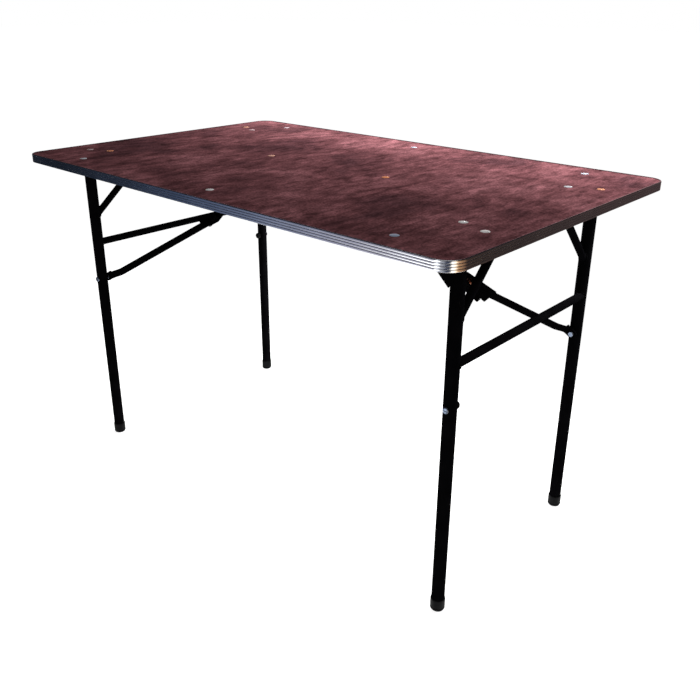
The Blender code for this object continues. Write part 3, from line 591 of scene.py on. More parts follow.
def finish(name):
    """A finish by its name, made the first time that it is asked for."""
    if name not in made_finishes:
        made_finishes[name] = FINISHES[name]()
    return made_finishes[name]


# Shapes


def smooth(mesh, angle=SHARP_ANGLE):
    """Shade a mesh smooth between faces that meet at a small angle."""
    mesh.shade_smooth()
    mesh.set_sharp_from_angle(angle=angle)


def from_bmesh(name, shape):
    """A mesh from a bmesh, its faces turned out."""
    bmesh.ops.remove_doubles(shape, verts=shape.verts, dist=1e-7)
    bmesh.ops.recalc_face_normals(shape, faces=shape.faces)
    mesh = bpy.data.meshes.new(name)
    shape.to_mesh(mesh)
    shape.free()
    return mesh


def shown(name, data):
    """An object for a mesh, a curve, a lamp or a camera, in the scene."""
    made = bpy.data.objects.new(name, data)
    bpy.context.scene.collection.objects.link(made)
    return made


def settle(obj):
    """Turn an object, with its modifiers, into a plain mesh object of the same name."""
    bpy.context.view_layer.update()
    graph = bpy.context.evaluated_depsgraph_get()
    mesh = bpy.data.meshes.new_from_object(obj.evaluated_get(graph), depsgraph=graph)
    name = obj.name
    bpy.data.objects.remove(obj, do_unlink=True)
    mesh.name = name
    return shown(name, mesh)


def combined(obj, tools, operation):
    """Join tools to an object, or cut them out of it, and take them away."""
    for tool in tools:
        tool.hide_render = True
        modifier = obj.modifiers.new("Shape", "BOOLEAN")
        modifier.operation = operation
        modifier.solver = "EXACT"
        modifier.object = tool
    obj = settle(obj)
    for tool in tools:
        bpy.data.objects.remove(tool, do_unlink=True)
    return obj


def round_angles(steps):
    """Equal angles round a full turn."""
    return [2 * math.pi * step / steps for step in range(steps)]


def bridged(shape, rings):
    """Make the faces between each closed ring of vertices and the next one."""
    for first, second in zip(rings, rings[1:]):
        for step in range(len(first)):
            after = (step + 1) % len(first)
            corners = (first[step], first[after], second[after], second[step])
            shape.faces.new(dict.fromkeys(corners))


def turned(profile, steps=ROUND_STEPS):
    """Turn an (r, z) outline about Z. It starts and ends on the axis, or closes on itself."""
    shape = bmesh.new()
    rings = []
    for r, z in profile:
        if r == 0:
            rings.append([shape.verts.new((0, 0, z))] * steps)
        else:
            ring = [(r * math.cos(angle), r * math.sin(angle), z) for angle in round_angles(steps)]
            rings.append([shape.verts.new(place) for place in ring])
    if profile[0][0] != 0:
        rings.append(rings[0])
    bridged(shape, rings)
    return shape


def eased(points, radius, steps=4):
    """An open outline with each of its inner corners rounded."""
    result = [points[0]]
    for before, corner, after in zip(points, points[1:], points[2:]):
        corner = Vector(corner)
        back = Vector(before) - corner
        on = Vector(after) - corner
        reach = min(radius, back.length * 0.49, on.length * 0.49)
        start = corner + back.normalized() * reach
        end = corner + on.normalized() * reach
        for step in range(steps + 1):
            share = step / steps
            point = start.lerp(corner, share).lerp(corner.lerp(end, share), share)
            result.append(tuple(point))
    result.append(points[-1])
    return result


def arc(centre, radius, start, end, steps):
    """Points on an arc, both ends included."""
    points = []
    for step in range(steps + 1):
        angle = start + (end - start) * step / steps
        points.append((centre[0] + radius * math.cos(angle), centre[1] + radius * math.sin(angle)))
    return points


def rounded_outline(half_length, half_width, radius, steps):
    """A rectangle with round corners, as a closed outline."""
    points = []
    for index, (sign_x, sign_y) in enumerate(((1, 1), (-1, 1), (-1, -1), (1, -1))):
        start = index * math.pi / 2
        centre = (sign_x * (half_length - radius), sign_y * (half_width - radius))
        points += arc(centre, radius, start, start + math.pi / 2, steps)
    return points


def prism(outline, low, high):
    """Extrude an outline in the XY plane along Z."""
    shape = bmesh.new()
    base = shape.faces.new([shape.verts.new((x, y, low)) for x, y in outline])
    grown = bmesh.ops.extrude_face_region(shape, geom=[base])
    raised = [item for item in grown["geom"] if isinstance(item, bmesh.types.BMVert)]
    bmesh.ops.translate(shape, vec=(0, 0, high - low), verts=raised)
    return shape


def side_prism(outline, low, high):
    """Extrude an outline in the XZ plane along Y."""
    shape = prism([(x, -z) for x, z in outline], low, high)
    return moved(shape, Matrix.Rotation(-math.pi / 2, 4, "X"))


def along(start, end):
    """The matrix that carries +Z from the origin to a line from start to end."""
    start = Vector(start)
    direction = Vector(end) - start
    return Matrix.Translation(start) @ direction.to_track_quat("Z", "Y").to_matrix().to_4x4()


def moved(shape, matrix):
    """A bmesh carried by a matrix."""
    bmesh.ops.transform(shape, matrix=matrix, verts=shape.verts)
    return shape


def joined(name, shapes):
    """Several bmeshes as one mesh."""
    whole = bmesh.new()
    for shape in shapes:
        part = from_bmesh("part", shape)
        whole.from_mesh(part)
        bpy.data.meshes.remove(part)
    mesh = bpy.data.meshes.new(name)
    whole.to_mesh(mesh)
    whole.free()
    return mesh


def edged(obj, width):
    """Round the sharp edges of an object with a bevel, and apply it."""
    bevel = obj.modifiers.new("Edge", "BEVEL")
    bevel.width = width
    bevel.segments = 2
    bevel.limit_method = "ANGLE"
    bevel.angle_limit = BEVEL_ANGLE
    obj = settle(obj)
    smooth(obj.data)
    return obj


def fused(name, shapes, edge):
    """Closed bmeshes made one solid by Booleans, then bevelled."""
    piece = shown(name, from_bmesh(name, shapes[0]))
    helpers = [shown("helper", from_bmesh("helper", shape)) for shape in shapes[1:]]
    piece = combined(piece, helpers, "UNION")
    shape = bmesh.new()
    shape.from_mesh(piece.data)
    bmesh.ops.remove_doubles(shape, verts=shape.verts, dist=1e-6)
    bmesh.ops.dissolve_limit(shape, angle_limit=FLAT_ANGLE, verts=shape.verts, edges=shape.edges)
    shape.to_mesh(piece.data)
    shape.free()
    return edged(piece, edge)


def dressed(obj, body, slot, surface_name, *nodes):
    """Give a piece its finish, its body and the solids that it stands for. The slot is not used."""
    if surface_name is not None:
        obj.data.materials.clear()
        obj.data.materials.append(finish(surface_name))
    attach(obj, body)
    if nodes:
        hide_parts(*nodes)
    return obj


def painted(obj, body, *nodes):
    """Dress a piece in the black paint."""
    return dressed(obj, body, "black_paint", "black_paint", *nodes)


def fitted(name, mesh, place, body, look, *nodes, tone=None):
    """A small piece set in its place, with the tone that a steel finish reads if one is given."""
    mesh.transform(place)
    smooth(mesh)
    if tone is not None:
        layer = mesh.attributes.new("tone", "FLOAT", "POINT")
        layer.data.foreach_set("value", [tone] * len(mesh.vertices))
    return dressed(shown(name, mesh), body, look, look, *nodes)


# Geometry Nodes trees


def new_tree(name, inputs):
    """A Geometry Nodes tree with named inputs after its geometry."""
    tree = bpy.data.node_groups.new(name, "GeometryNodeTree")
    face = tree.interface
    face.new_socket("Geometry", in_out="INPUT", socket_type="NodeSocketGeometry")
    for label, kind, default in inputs:
        socket = face.new_socket(label, in_out="INPUT", socket_type=kind)
        if default is not None:
            socket.default_value = default
    face.new_socket("Geometry", in_out="OUTPUT", socket_type="NodeSocketGeometry")
    return tree, tree.nodes.new("NodeGroupInput"), tree.nodes.new("NodeGroupOutput")


def end_tree(tree, given, last, output):
    """Realize what a tree has made, set its material and hand it out."""
    real = tree.nodes.new("GeometryNodeRealizeInstances")
    paint = tree.nodes.new("GeometryNodeSetMaterial")
    plug(tree, last, real, 0)
    plug(tree, real.outputs[0], paint, "Geometry")
    plug(tree, given.outputs["Finish"], paint, "Material")
    plug(tree, paint.outputs[0], output, 0)


def grow(obj, tree, values):
    """Run a tree on an object with its inputs set, and keep the result as a plain mesh."""
    modifier = obj.modifiers.new("Grow", "NODES")
    modifier.node_group = tree
    for item in tree.interface.items_tree:
        if item.item_type == "SOCKET" and item.in_out == "INPUT" and item.name in values:
            modifier[item.identifier] = values[item.name]
    return settle(obj)


def copies_tree():
    """A copy of an object at each point, turned at random."""
    tree, given, output = new_tree(
        "Copies At Points",
        (
            ("Copy", "NodeSocketObject", None),
            ("Turn", "NodeSocketFloat", 0.0),
            ("Seed", "NodeSocketInt", 3),
            ("Finish", "NodeSocketMaterial", None),
        ),
    )
    source = add(tree, "GeometryNodeObjectInfo", transform_space="ORIGINAL", As_Instance=True)
    turn = add(tree, "FunctionNodeRandomValue", data_type="FLOAT")
    angle = tree.nodes.new("ShaderNodeCombineXYZ")
    places = tree.nodes.new("GeometryNodeInstanceOnPoints")
    plug(tree, given.outputs["Copy"], source, "Object")
    plug(tree, given.outputs["Geometry"], places, "Points")
    plug(tree, source.outputs["Geometry"], places, "Instance")
    plug(tree, given.outputs["Turn"], turn, 3)
    plug(tree, given.outputs["Seed"], turn, "Seed")
    plug(tree, turn.outputs[1], angle, "Z")
    plug(tree, angle.outputs[0], places, "Rotation")
    end_tree(tree, given, places.outputs[0], output)
    return tree


def sweep_tree():
    """A section carried along a level path, with the run and the round of it as a UV map."""
    tree, given, output = new_tree(
        "Section Along Path",
        (("Section", "NodeSocketObject", None), ("Finish", "NodeSocketMaterial", None)),
    )
    source = add(tree, "GeometryNodeObjectInfo", transform_space="ORIGINAL")
    upright = add(tree, "GeometryNodeSetCurveNormal", mode="Z_UP")
    run = tree.nodes.new("GeometryNodeCaptureAttribute")
    girth = tree.nodes.new("GeometryNodeCaptureAttribute")
    for capture in (run, girth):
        length = tree.nodes.new("GeometryNodeSplineParameter")
        capture.capture_items.new("FLOAT", "Length")
        plug(tree, length.outputs["Length"], capture, 1)
    sweep = add(tree, "GeometryNodeCurveToMesh", Fill_Caps=True)
    pair = tree.nodes.new("ShaderNodeCombineXYZ")
    store = add(tree, "GeometryNodeStoreNamedAttribute", data_type="FLOAT2", domain="CORNER", Name="Run")
    plug(tree, given.outputs["Section"], source, "Object")
    plug(tree, given.outputs["Geometry"], upright, 0)
    plug(tree, upright.outputs[0], run, 0)
    plug(tree, source.outputs["Geometry"], girth, 0)
    plug(tree, run.outputs[0], sweep, "Curve")
    plug(tree, girth.outputs[0], sweep, "Profile Curve")
    plug(tree, run.outputs[1], pair, "X")
    plug(tree, girth.outputs[1], pair, "Y")
    plug(tree, sweep.outputs[0], store, "Geometry")
    plug(tree, pair.outputs[0], store, "Value")
    end_tree(tree, given, store.outputs[0], output)
    return tree


def bead_tree():
    """A weld bead along each path: a round that swells and shrinks in even ripples."""
    tree, given, output = new_tree(
        "Weld Bead",
        (
            ("Radius", "NodeSocketFloat", 0.002),
            ("Pitch", "NodeSocketFloat", 0.0024),
            ("Ripple", "NodeSocketFloat", 0.15),
            ("Finish", "NodeSocketMaterial", None),
        ),
    )
    spaced = add(tree, "GeometryNodeResampleCurve", mode="LENGTH")
    step = maths(tree, "MULTIPLY", given.outputs["Pitch"], 0.25)
    length = tree.nodes.new("GeometryNodeSplineParameter")
    turns = maths(tree, "DIVIDE", length.outputs["Length"], given.outputs["Pitch"])
    wave = maths(tree, "SINE", maths(tree, "MULTIPLY", turns, FULL_TURN))
    rough = add(tree, "ShaderNodeTexNoise", Scale=BEAD_NOISE_SCALE)
    uneven = maths(tree, "MULTIPLY", maths(tree, "SUBTRACT", rough.outputs[0], 0.5), 0.5)
    swell = scaled(tree, wave, given.outputs["Ripple"], uneven)
    sized = tree.nodes.new("GeometryNodeSetCurveRadius")
    ring = add(tree, "GeometryNodeCurvePrimitiveCircle", Resolution=BEAD_SIDES)
    sweep = tree.nodes.new("GeometryNodeCurveToMesh")
    soft = tree.nodes.new("GeometryNodeSetShadeSmooth")
    plug(tree, given.outputs["Geometry"], spaced, "Curve")
    plug(tree, step, spaced, "Length")
    plug(tree, spaced.outputs[0], sized, "Curve")
    plug(tree, maths(tree, "ADD", swell, 1.0), sized, "Radius")
    plug(tree, given.outputs["Radius"], ring, "Radius")
    plug(tree, sized.outputs[0], sweep, "Curve")
    plug(tree, ring.outputs[0], sweep, "Profile Curve")
    plug(tree, sweep.outputs[0], soft, 0)
    end_tree(tree, given, soft.outputs[0], output)
    return tree


def points_object(name, places, tones):
    """A mesh of loose points, each with a tone that its copy keeps."""
    mesh = bpy.data.meshes.new(name)
    mesh.from_pydata([tuple(place) for place in places], [], [])
    layer = mesh.attributes.new("tone", "FLOAT", "POINT")
    layer.data.foreach_set("value", tones or [0.0] * len(places))
    return shown(name, mesh)


def curve_object(name, lines, cyclic):
    """A curve object of straight-sided splines."""
    data = bpy.data.curves.new(name, "CURVE")
    data.dimensions = "3D"
    for line in lines:
        spline = data.splines.new("POLY")
        spline.points.add(len(line) - 1)
        for point, place in zip(spline.points, line):
            point.co = (*place, 1.0)
        spline.use_cyclic_u = cyclic
    return shown(name, data)


def scattered(name, source, places, turn, seed, surface_name, tones=None):
    """Copies of a source mesh at places, as one plain mesh object."""
    copy = shown(f"{name}_source", source)
    values = {"Copy": copy, "Turn": turn, "Seed": seed, "Finish": finish(surface_name)}
    made = grow(points_object(name, places, tones), copies_tree(), values)
    bpy.data.objects.remove(copy, do_unlink=True)
    smooth(made.data)
    return made


def weld(name, lines, share, body, place=Matrix()):
    """Weld beads along closed lines, as one piece. The share is of the usual radius."""
    sizes = bpy.context.scene.folding_table_frame
    values = {
        "Radius": sizes.bead_radius * share,
        "Pitch": sizes.bead_pitch,
        "Ripple": sizes.bead_ripple,
        "Finish": finish("black_paint"),
    }
    beads = grow(curve_object(name, lines, True), bead_tree(), values)
    beads.data.transform(place)
    dressed(beads, body, "black_paint", None)


# The top


def round_head(radius, thickness, dome):
    """The outline of a low domed head from its top to its rim, with its top at z = dome."""
    edge = min(0.0006, thickness / 3)
    rows = [(0, dome)]
    for share in (0.25, 0.45, 0.62, 0.76, 0.87):
        rows.append((radius * share, dome * (1 - share**2)))
    rows += [(radius * 0.95, dome * 0.06), (radius * 0.985, -edge * 0.35), (radius, -edge)]
    return rows


def hexagon(radius, low, high):
    """A nut: a six-sided prism with its corners turned off top and bottom."""
    shape = bmesh.new()
    rings = []
    chamfer = (high - low) * 0.16
    for z, share in ((low, 0.88), (low + chamfer, 1.0), (high - chamfer, 1.0), (high, 0.88)):
        reach = radius * share
        ring = [(reach * math.cos(angle), reach * math.sin(angle), z) for angle in round_angles(6)]
        rings.append([shape.verts.new(place) for place in ring])
    bridged(shape, rings)
    shape.faces.new(rings[0])
    shape.faces.new(rings[-1])
    return shape


class FOLDING_TABLE_OT_board(bpy.types.Operator):
    """Make the plywood top with its bolt holes."""

    bl_idname = "folding_table.board"
    bl_label = "Board"

    def execute(self, context):
        steps = context.scene.folding_table_edging.corner_steps
        radius = CORNER_RADIUS - EDGING_WALL - SEAT_GAP
        outline = rounded_outline(BOARD_HIGH.x, BOARD_HIGH.y, radius, steps)
        board = shown("film_faced_board", from_bmesh("board", prism(outline, BOARD_LOW.z, BOARD_HIGH.z)))
        head_low, head_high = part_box(TOP_BOLTS[0])
        wide = (head_high.x - head_low.x) / 2 + SEAT_GAP
        narrow = SHANK_RADIUS + SEAT_GAP
        seat = BOARD_HIGH.z - HEAD_THICKNESS - SEAT_GAP
        under = BOARD_LOW.z - HOLE_OVERRUN
        over = BOARD_HIGH.z + HOLE_OVERRUN
        profile = [(0, under), (narrow, under), (narrow, seat), (wide, seat), (wide, over), (0, over)]
        holes = []
        for node in TOP_BOLTS:
            place = middle(node)
            holes.append(moved(turned(profile, HEAD_STEPS), Matrix.Translation((place.x, place.y, 0))))
        board = combined(board, [shown("holes", joined("holes", holes))], "DIFFERENCE")
        board.data.materials.clear()
        for name in ("film_top", "film_under", "plywood_layers"):
            board.data.materials.append(finish(name))
        for face in board.data.polygons:
            level = face.center.z
            if face.normal.z > 0.9 and level > BOARD_HIGH.z - SEAT_GAP:
                face.material_index = 0
            elif face.normal.z < -0.9 and level < BOARD_LOW.z + SEAT_GAP:
                face.material_index = 1
            else:
                face.material_index = 2
        smooth(board.data)
        dressed(board, "tabletop", "plywood_film", None, "tabletop_board")
        return {"FINISHED"}


class FOLDING_TABLE_OT_edging(bpy.types.Operator):
    """Make the ribbed aluminium edging round the top."""

    bl_idname = "folding_table.edging"
    bl_label = "Edging"

    def execute(self, context):
        sizes = context.scene.folding_table_edging
        outline = rounded_outline(EDGING_HIGH.x, EDGING_HIGH.y, CORNER_RADIUS, sizes.corner_steps)
        turn = sizes.corner_steps + 1
        path = [(-sizes.joint_gap / 2, EDGING_HIGH.y)] + outline[turn:] + outline[:turn]
        path.append((sizes.joint_gap / 2, EDGING_HIGH.y))
        line = curve_object("ribbed_edging", [[(x, y, 0.0) for x, y in path]], False)
        low = EDGING_LOW.z
        high = EDGING_HIGH.z
        lip = LIP_THICKNESS
        pitch = (high - lip / 2 - low) / sizes.rib_count
        section = []
        for rib in range(sizes.rib_count):
            for step in range(RIB_STEPS):
                share = step / RIB_STEPS
                bulge = (1 - abs(2 * share - 1) ** RIB_FULLNESS) ** 0.5
                section.append((-sizes.groove_depth * (1 - bulge), low + (rib + share) * pitch))
        section.append((-sizes.groove_depth * 0.8, low + sizes.rib_count * pitch))
        section += eased([(-lip * 0.75, high - lip / 4), (-lip, high), (-LIP_WIDTH * 0.6, high)], lip / 2)
        inside = [(-LIP_WIDTH * 0.7, high), (-LIP_WIDTH, high), (-LIP_WIDTH, high - lip)]
        inside += [(-EDGING_WALL, high - lip), (-EDGING_WALL, low), (-sizes.groove_depth, low)]
        section += eased(inside, lip * 0.4)
        profile = curve_object("section", [[(x, -z, 0.0) for x, z in section]], True)
        edging = grow(line, sweep_tree(), {"Section": profile, "Finish": finish("edging_aluminium")})
        bpy.data.objects.remove(profile, do_unlink=True)
        shape = bmesh.new()
        shape.from_mesh(edging.data)
        bmesh.ops.recalc_face_normals(shape, faces=shape.faces)
        shape.to_mesh(edging.data)
        shape.free()
        smooth(edging.data, EDGING_SHARP_ANGLE)
        dressed(edging, "tabletop", "edging_aluminium", None, "edge_trim")
        return {"FINISHED"}


class FOLDING_TABLE_OT_top_bolts(bpy.types.Operator):
    """Make the bolts in the top and the nuts under it."""

    bl_idname = "folding_table.top_bolts"
    bl_label = "Top Bolts"

    def execute(self, context):
        low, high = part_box(TOP_BOLTS[0])
        radius = (high.x - low.x) / 2
        outline = round_head(radius, HEAD_THICKNESS, EDGING_HIGH.z - BOARD_HIGH.z - HEAD_BELOW_LIP)
        outline += [(radius, -HEAD_THICKNESS), (SHANK_RADIUS, -HEAD_THICKNESS)]
        outline += [(SHANK_RADIUS, BOARD_LOW.z - BOARD_HIGH.z), (0, BOARD_LOW.z - BOARD_HIGH.z)]
        source = from_bmesh("bolt", turned(outline, HEAD_STEPS))
        places = [(middle(node).x, middle(node).y, BOARD_HIGH.z) for node in TOP_BOLTS]
        tones = [BOLT_TONES[node] for node in TOP_BOLTS]
        heads = scattered("top_bolts", source, places, BOLT_TURN, 5, "bolt_head", tones)
        dressed(heads, "tabletop", "bolt_steel", None, *TOP_BOLTS)
        shank = [(0, 0), (SHANK_RADIUS, 0), (SHANK_RADIUS, SHANK_BELOW_BOARD), (0, SHANK_BELOW_BOARD)]
        nut = hexagon(NUT_RADIUS, NUT_ABOVE_END, NUT_ABOVE_END + NUT_HEIGHT)
        source = joined("nut", [nut, turned(shank, SHANK_STEPS)])
        places = [(middle(node).x, middle(node).y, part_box(node)[0].z) for node in TOP_BOLTS]
        nuts = scattered("top_bolt_nuts", source, places, BOLT_TURN, 8, "bolt_steel")
        dressed(nuts, "tabletop", "bolt_steel", None)
        return {"FINISHED"}


class FOLDING_TABLE_OT_buffers(bpy.types.Operator):
    """Make the rubber buffers under the top."""

    bl_idname = "folding_table.buffers"
    bl_label = "Buffers"

    def execute(self, context):
        nodes = [f"stacking_buffer_{number}" for number in range(1, 7)]
        low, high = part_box(nodes[0])
        radius = (high.x - low.x) / 2
        tall = high.z - low.z
        web = tall - BUFFER_WEB
        corners = [(BUFFER_RECESS_RADIUS, web), (BUFFER_RECESS_RADIUS, 0), (radius * 0.86, 0)]
        corners += [(radius, tall), (BUFFER_BORE_RADIUS, tall), (BUFFER_BORE_RADIUS, web)]
        outline = eased(corners + [corners[0]], BUFFER_ROUNDING, 5)[:-1]
        places = [(middle(node).x, middle(node).y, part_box(node)[0].z) for node in nodes]
        source = from_bmesh("buffer", turned(outline))
        buffers = scattered("stacking_buffers", source, places, PLASTIC_TURN, 2, "buffer_rubber")
        dressed(buffers, "tabletop", "buffer_rubber", None, *nodes)
        return {"FINISHED"}


class FOLDING_TABLE_OT_saddles(bpy.types.Operator):
    """Make the straps that hold the cross tubes."""

    bl_idname = "folding_table.saddles"
    bl_label = "Saddles"

    def execute(self, context):
        edge = context.scene.folding_table_frame.sheet_edge
        inner = PIVOT_RADIUS + SADDLE_RUNNING_GAP
        outer = inner + SADDLE_SHEET
        straight = SADDLE_STRAIGHT
        for side in SIDES:
            hinge = HINGE[side]
            for end in ENDS:
                name = f"hinge_saddle_{side}_{end}"
                low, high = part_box(name)
                left = low.x - hinge.x
                right = high.x - hinge.x
                top = high.z - hinge.z
                under = top - SADDLE_SHEET
                outline = eased([(left, top), (-inner, top), (-inner, top / 2)], SADDLE_INNER_BEND)
                outline += arc((0, 0), inner, math.pi, 2 * math.pi, BEND_STEPS)
                outline += eased([(inner, top / 2), (inner, top), (right, top)], SADDLE_INNER_BEND)
                outline += eased([(right, under), (outer, under), (outer, straight)], SADDLE_OUTER_BEND)
                outline += arc((0, 0), outer, 2 * math.pi, math.pi, BEND_STEPS)
                outline += eased([(-outer, straight), (-outer, under), (left, under)], SADDLE_OUTER_BEND)
                shape = side_prism(outline, low.y, high.y)
                moved(shape, Matrix.Translation((hinge.x, 0, hinge.z)))
                saddle = edged(shown(f"{name}_strap", from_bmesh(name, shape)), edge)
                painted(saddle, "tabletop", name)
        return {"FINISHED"}


# The frames


def meets(point, direction, cylinder, far):
    """How far along a line its crossing with an endless cylinder lies."""
    base, axis, radius = cylinder
    flat_point = point - base - axis * (point - base).dot(axis)
    flat_direction = direction - axis * direction.dot(axis)
    a = flat_direction.dot(flat_direction)
    b = 2 * flat_point.dot(flat_direction)
    c = flat_point.dot(flat_point) - radius * radius
    root = math.sqrt(max(b * b - 4 * a * c, 0.0))
    return (-b + root if far else -b - root) / (2 * a)


def coped_tube(start, end, radius, at_start, at_end):
    """A tube whose ends follow the round of the tubes that they meet, and the two lines of its welds."""
    start = Vector(start)
    direction = (Vector(end) - start).normalized()
    side = direction.orthogonal().normalized()
    other = direction.cross(side)
    shape = bmesh.new()
    rings = []
    lines = []
    for reach in (radius, radius - TUBE_WALL):
        for cylinder, far in ((at_start, True), (at_end, False)):
            ring = []
            line = []
            for angle in round_angles(ROUND_STEPS):
                out = side * math.cos(angle) + other * math.sin(angle)
                point = start + out * reach
                place = point + direction * meets(point, direction, cylinder, far)
                ring.append(shape.verts.new(place))
                line.append(place + out * BEAD_OFFSET)
            rings.append(ring)
            lines.append(line)
    outer_start, outer_end, inner_start, inner_end = rings
    bridged(shape, [outer_start, outer_end, inner_end, inner_start, outer_start])
    return shape, lines[:2]


class FOLDING_TABLE_OT_frames(bpy.types.Operator):
    """Make the legs, cross tubes and struts of both frames, with their welds."""

    bl_idname = "folding_table.frames"
    bl_label = "Frames"

    def execute(self, context):
        for side in SIDES:
            body = f"{side}_frame"
            hinge = HINGE[side]
            seams = []
            legs = {}
            for end in ENDS:
                name = f"leg_{side}_{end}"
                low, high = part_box(name)
                place = middle(name)
                legs[end] = (Vector((place.x, place.y, 0)), Vector((0, 0, 1)), LEG_RADIUS)
                inner = LEG_RADIUS - LEG_WALL
                outline = [(LEG_RADIUS, low.z), (LEG_RADIUS, high.z - LEG_RIM)]
                outline += [(LEG_RADIUS - LEG_RIM, high.z), (inner, high.z), (inner, low.z)]
                tube = moved(turned(outline), Matrix.Translation((place.x, place.y, 0)))
                self.show_tube(name, tube, body)
            spread = SPREAD[side]
            for kind, radius in (("pivot_tube", PIVOT_RADIUS), ("stretcher", STRETCHER_RADIUS)):
                name = f"{kind}_{side}"
                place = middle(name)
                ends = ((place.x, -spread, place.z), (place.x, spread, place.z))
                tube, lines = coped_tube(*ends, radius, legs["front"], legs["back"])
                if kind == "stretcher":
                    seams += lines
                self.show_tube(name, tube, body)
            cross = (Vector((hinge.x, 0, hinge.z)), Vector((0, 1, 0)), PIVOT_RADIUS)
            for end in ENDS:
                foot = Vector((legs[end][0].x, legs[end][0].y, STRUT_FOOT[side]))
                reach = math.copysign(STRUT_REACH[side], foot.y)
                top = Vector((hinge.x, reach, hinge.z))
                tube, lines = coped_tube(foot, top, STRUT_RADIUS, legs[end], cross)
                seams += lines
                self.show_tube(f"strut_{side}_{end}", tube, body)
            weld(f"weld_beads_{side}", seams, 1.0, body)
        return {"FINISHED"}

    def show_tube(self, name, shape, body):
        """Show a painted tube in place of its solid."""
        tube = shown(f"{name}_tube", from_bmesh(name, shape))
        smooth(tube.data)
        painted(tube, body, name)


class FOLDING_TABLE_OT_feet(bpy.types.Operator):
    """Make the plastic feet on the legs."""

    bl_idname = "folding_table.feet"
    bl_label = "Feet"

    def execute(self, context):
        for side in SIDES:
            nodes = [f"foot_{side}_{end}" for end in ENDS]
            low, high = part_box(nodes[0])
            radius = (high.y - low.y) / 2
            tall = high.z - low.z
            bore = radius - FOOT_WALL
            corners = [(0, FOOT_HOLLOW), (radius * 0.45, FOOT_HOLLOW), (radius * 0.52, 0.0)]
            corners += [(radius * 0.86, 0.0), (radius, FOOT_BEVEL)]
            corners += [(radius - depth, z) for depth, z in FOOT_GROOVE]
            corners += [(radius, tall - FOOT_RIM_HEIGHT), (radius - FOOT_RIM_WIDTH, tall)]
            corners += [(bore, tall), (bore, FOOT_FLOOR), (0, FOOT_FLOOR)]
            source = from_bmesh("foot", turned(eased(corners, FOOT_ROUNDING, 3)))
            places = [(middle(node).x, middle(node).y, 0.0) for node in nodes]
            feet = scattered(f"feet_{side}", source, places, PLASTIC_TURN, 4, "foot_plastic")
            dressed(feet, f"{side}_frame", "foot_plastic", None, *nodes)
        return {"FINISHED"}


def slotted(radius, thickness):
    """A slotted pan head from z = 0 up, as one closed shape."""
    outline = [(0, 0), (radius, 0), (radius, thickness * 0.35), (radius * 0.94, thickness * 0.68)]
    outline += [(radius * 0.80, thickness * 0.88), (radius * 0.55, thickness * 0.98), (0, thickness)]
    head = shown("head", from_bmesh("head", turned(outline, HEAD_STEPS)))
    wide = radius * 0.15
    corners = [(-2 * radius, -wide), (2 * radius, -wide), (2 * radius, wide), (-2 * radius, wide)]
    blade = shown("blade", from_bmesh("blade", prism(corners, thickness * 0.45, thickness * 2)))
    head = combined(head, [blade], "DIFFERENCE")
    shape = bmesh.new()
    shape.from_mesh(head.data)
    bpy.data.objects.remove(head, do_unlink=True)
    return shape


class FOLDING_TABLE_OT_leg_bolts(bpy.types.Operator):
    """Make the bolts through the legs, with a nut or a domed cap."""

    bl_idname = "folding_table.leg_bolts"
    bl_label = "Leg Bolts"

    def execute(self, context):
        outside = LEG_RADIUS + SEAT_GAP
        lift = Matrix.Translation((0, 0, outside))
        for side in SIDES:
            body = f"{side}_frame"
            pivot = PIVOT[side]
            spread = SPREAD[side]
            flat = spread - arm_end_middle(side)
            near = flat - ARM_END_THICKNESS / 2 - SEAT_GAP
            far = flat + ARM_END_THICKNESS / 2 + SEAT_GAP
            washer = [(LEG_BOLT_RADIUS, -outside), (LEG_BOLT_HEAD_RADIUS, -outside)]
            washer += [(LEG_BOLT_HEAD_RADIUS, -near), (LEG_BOLT_RADIUS, -near)]
            nut = hexagon(LEG_BOLT_HEAD_RADIUS, -far - LEG_NUT_THICKNESS, -far)
            sign = math.copysign(1, pivot.y)
            bolts = (
                (f"brace_pivot_bolt_{side}", "_set", sign, far, [turned(washer, WASHER_STEPS), nut]),
                (f"capped_leg_bolt_{side}", None, -sign, outside, []),
            )
            for node, suffix, way, end, others in bolts:
                axis = along((pivot.x, way * spread, pivot.z), (pivot.x, way * (spread + 1), pivot.z))
                head = moved(slotted(LEG_BOLT_HEAD_RADIUS, LEG_BOLT_HEAD_THICKNESS), lift)
                outline = [(0, outside), (LEG_BOLT_RADIUS, outside), (LEG_BOLT_RADIUS, -end), (0, -end)]
                mesh = joined("bolt", [head, turned(outline, END_STEPS)] + others)
                name = node + suffix if suffix else f"leg_screw_{side}"
                fitted(name, mesh, axis, body, "bolt_steel", node, tone=LEG_BOLT_TONE)
            rows = [(0, 0), (CAP_RADIUS, 0), (CAP_RADIUS, CAP_LENGTH * 0.35)]
            rows += [(CAP_RADIUS * 0.90, CAP_LENGTH * 0.70), (CAP_RADIUS * 0.55, CAP_LENGTH * 0.95)]
            rows += [(0, CAP_LENGTH)]
            cap = turned([(r, -outside - z) for r, z in eased(rows, CAP_ROUNDING, 5)], HEAD_STEPS)
            fitted(f"bolt_cap_{side}", from_bmesh("cap", cap), axis, body, "cap_plastic")
        return {"FINISHED"}


# The braces


def arm_end_middle(side):
    """How far from the middle of the table the arm's flat end lies."""
    return SPREAD[side] - LEG_RADIUS - ARM_LEG_CLEARANCE - ARM_END_THICKNESS / 2


def brace_angle(side):
    """How steeply a straight brace falls from its bracket to its leg."""
    return math.atan2(PIN[side].z - PIVOT[side].z, abs(PIVOT[side].x - PIN[side].x))


def brace_place(side, origin, angle):
    """The matrix from a brace piece's own axes to the table's. The left end is turned half round."""
    half_turn = Matrix.Rotation(0 if side == "right" else math.pi, 4, "Z")
    shift = Matrix.Translation((origin.x, 0, origin.z))
    return shift @ half_turn @ Matrix.Rotation(angle, 4, "Y")


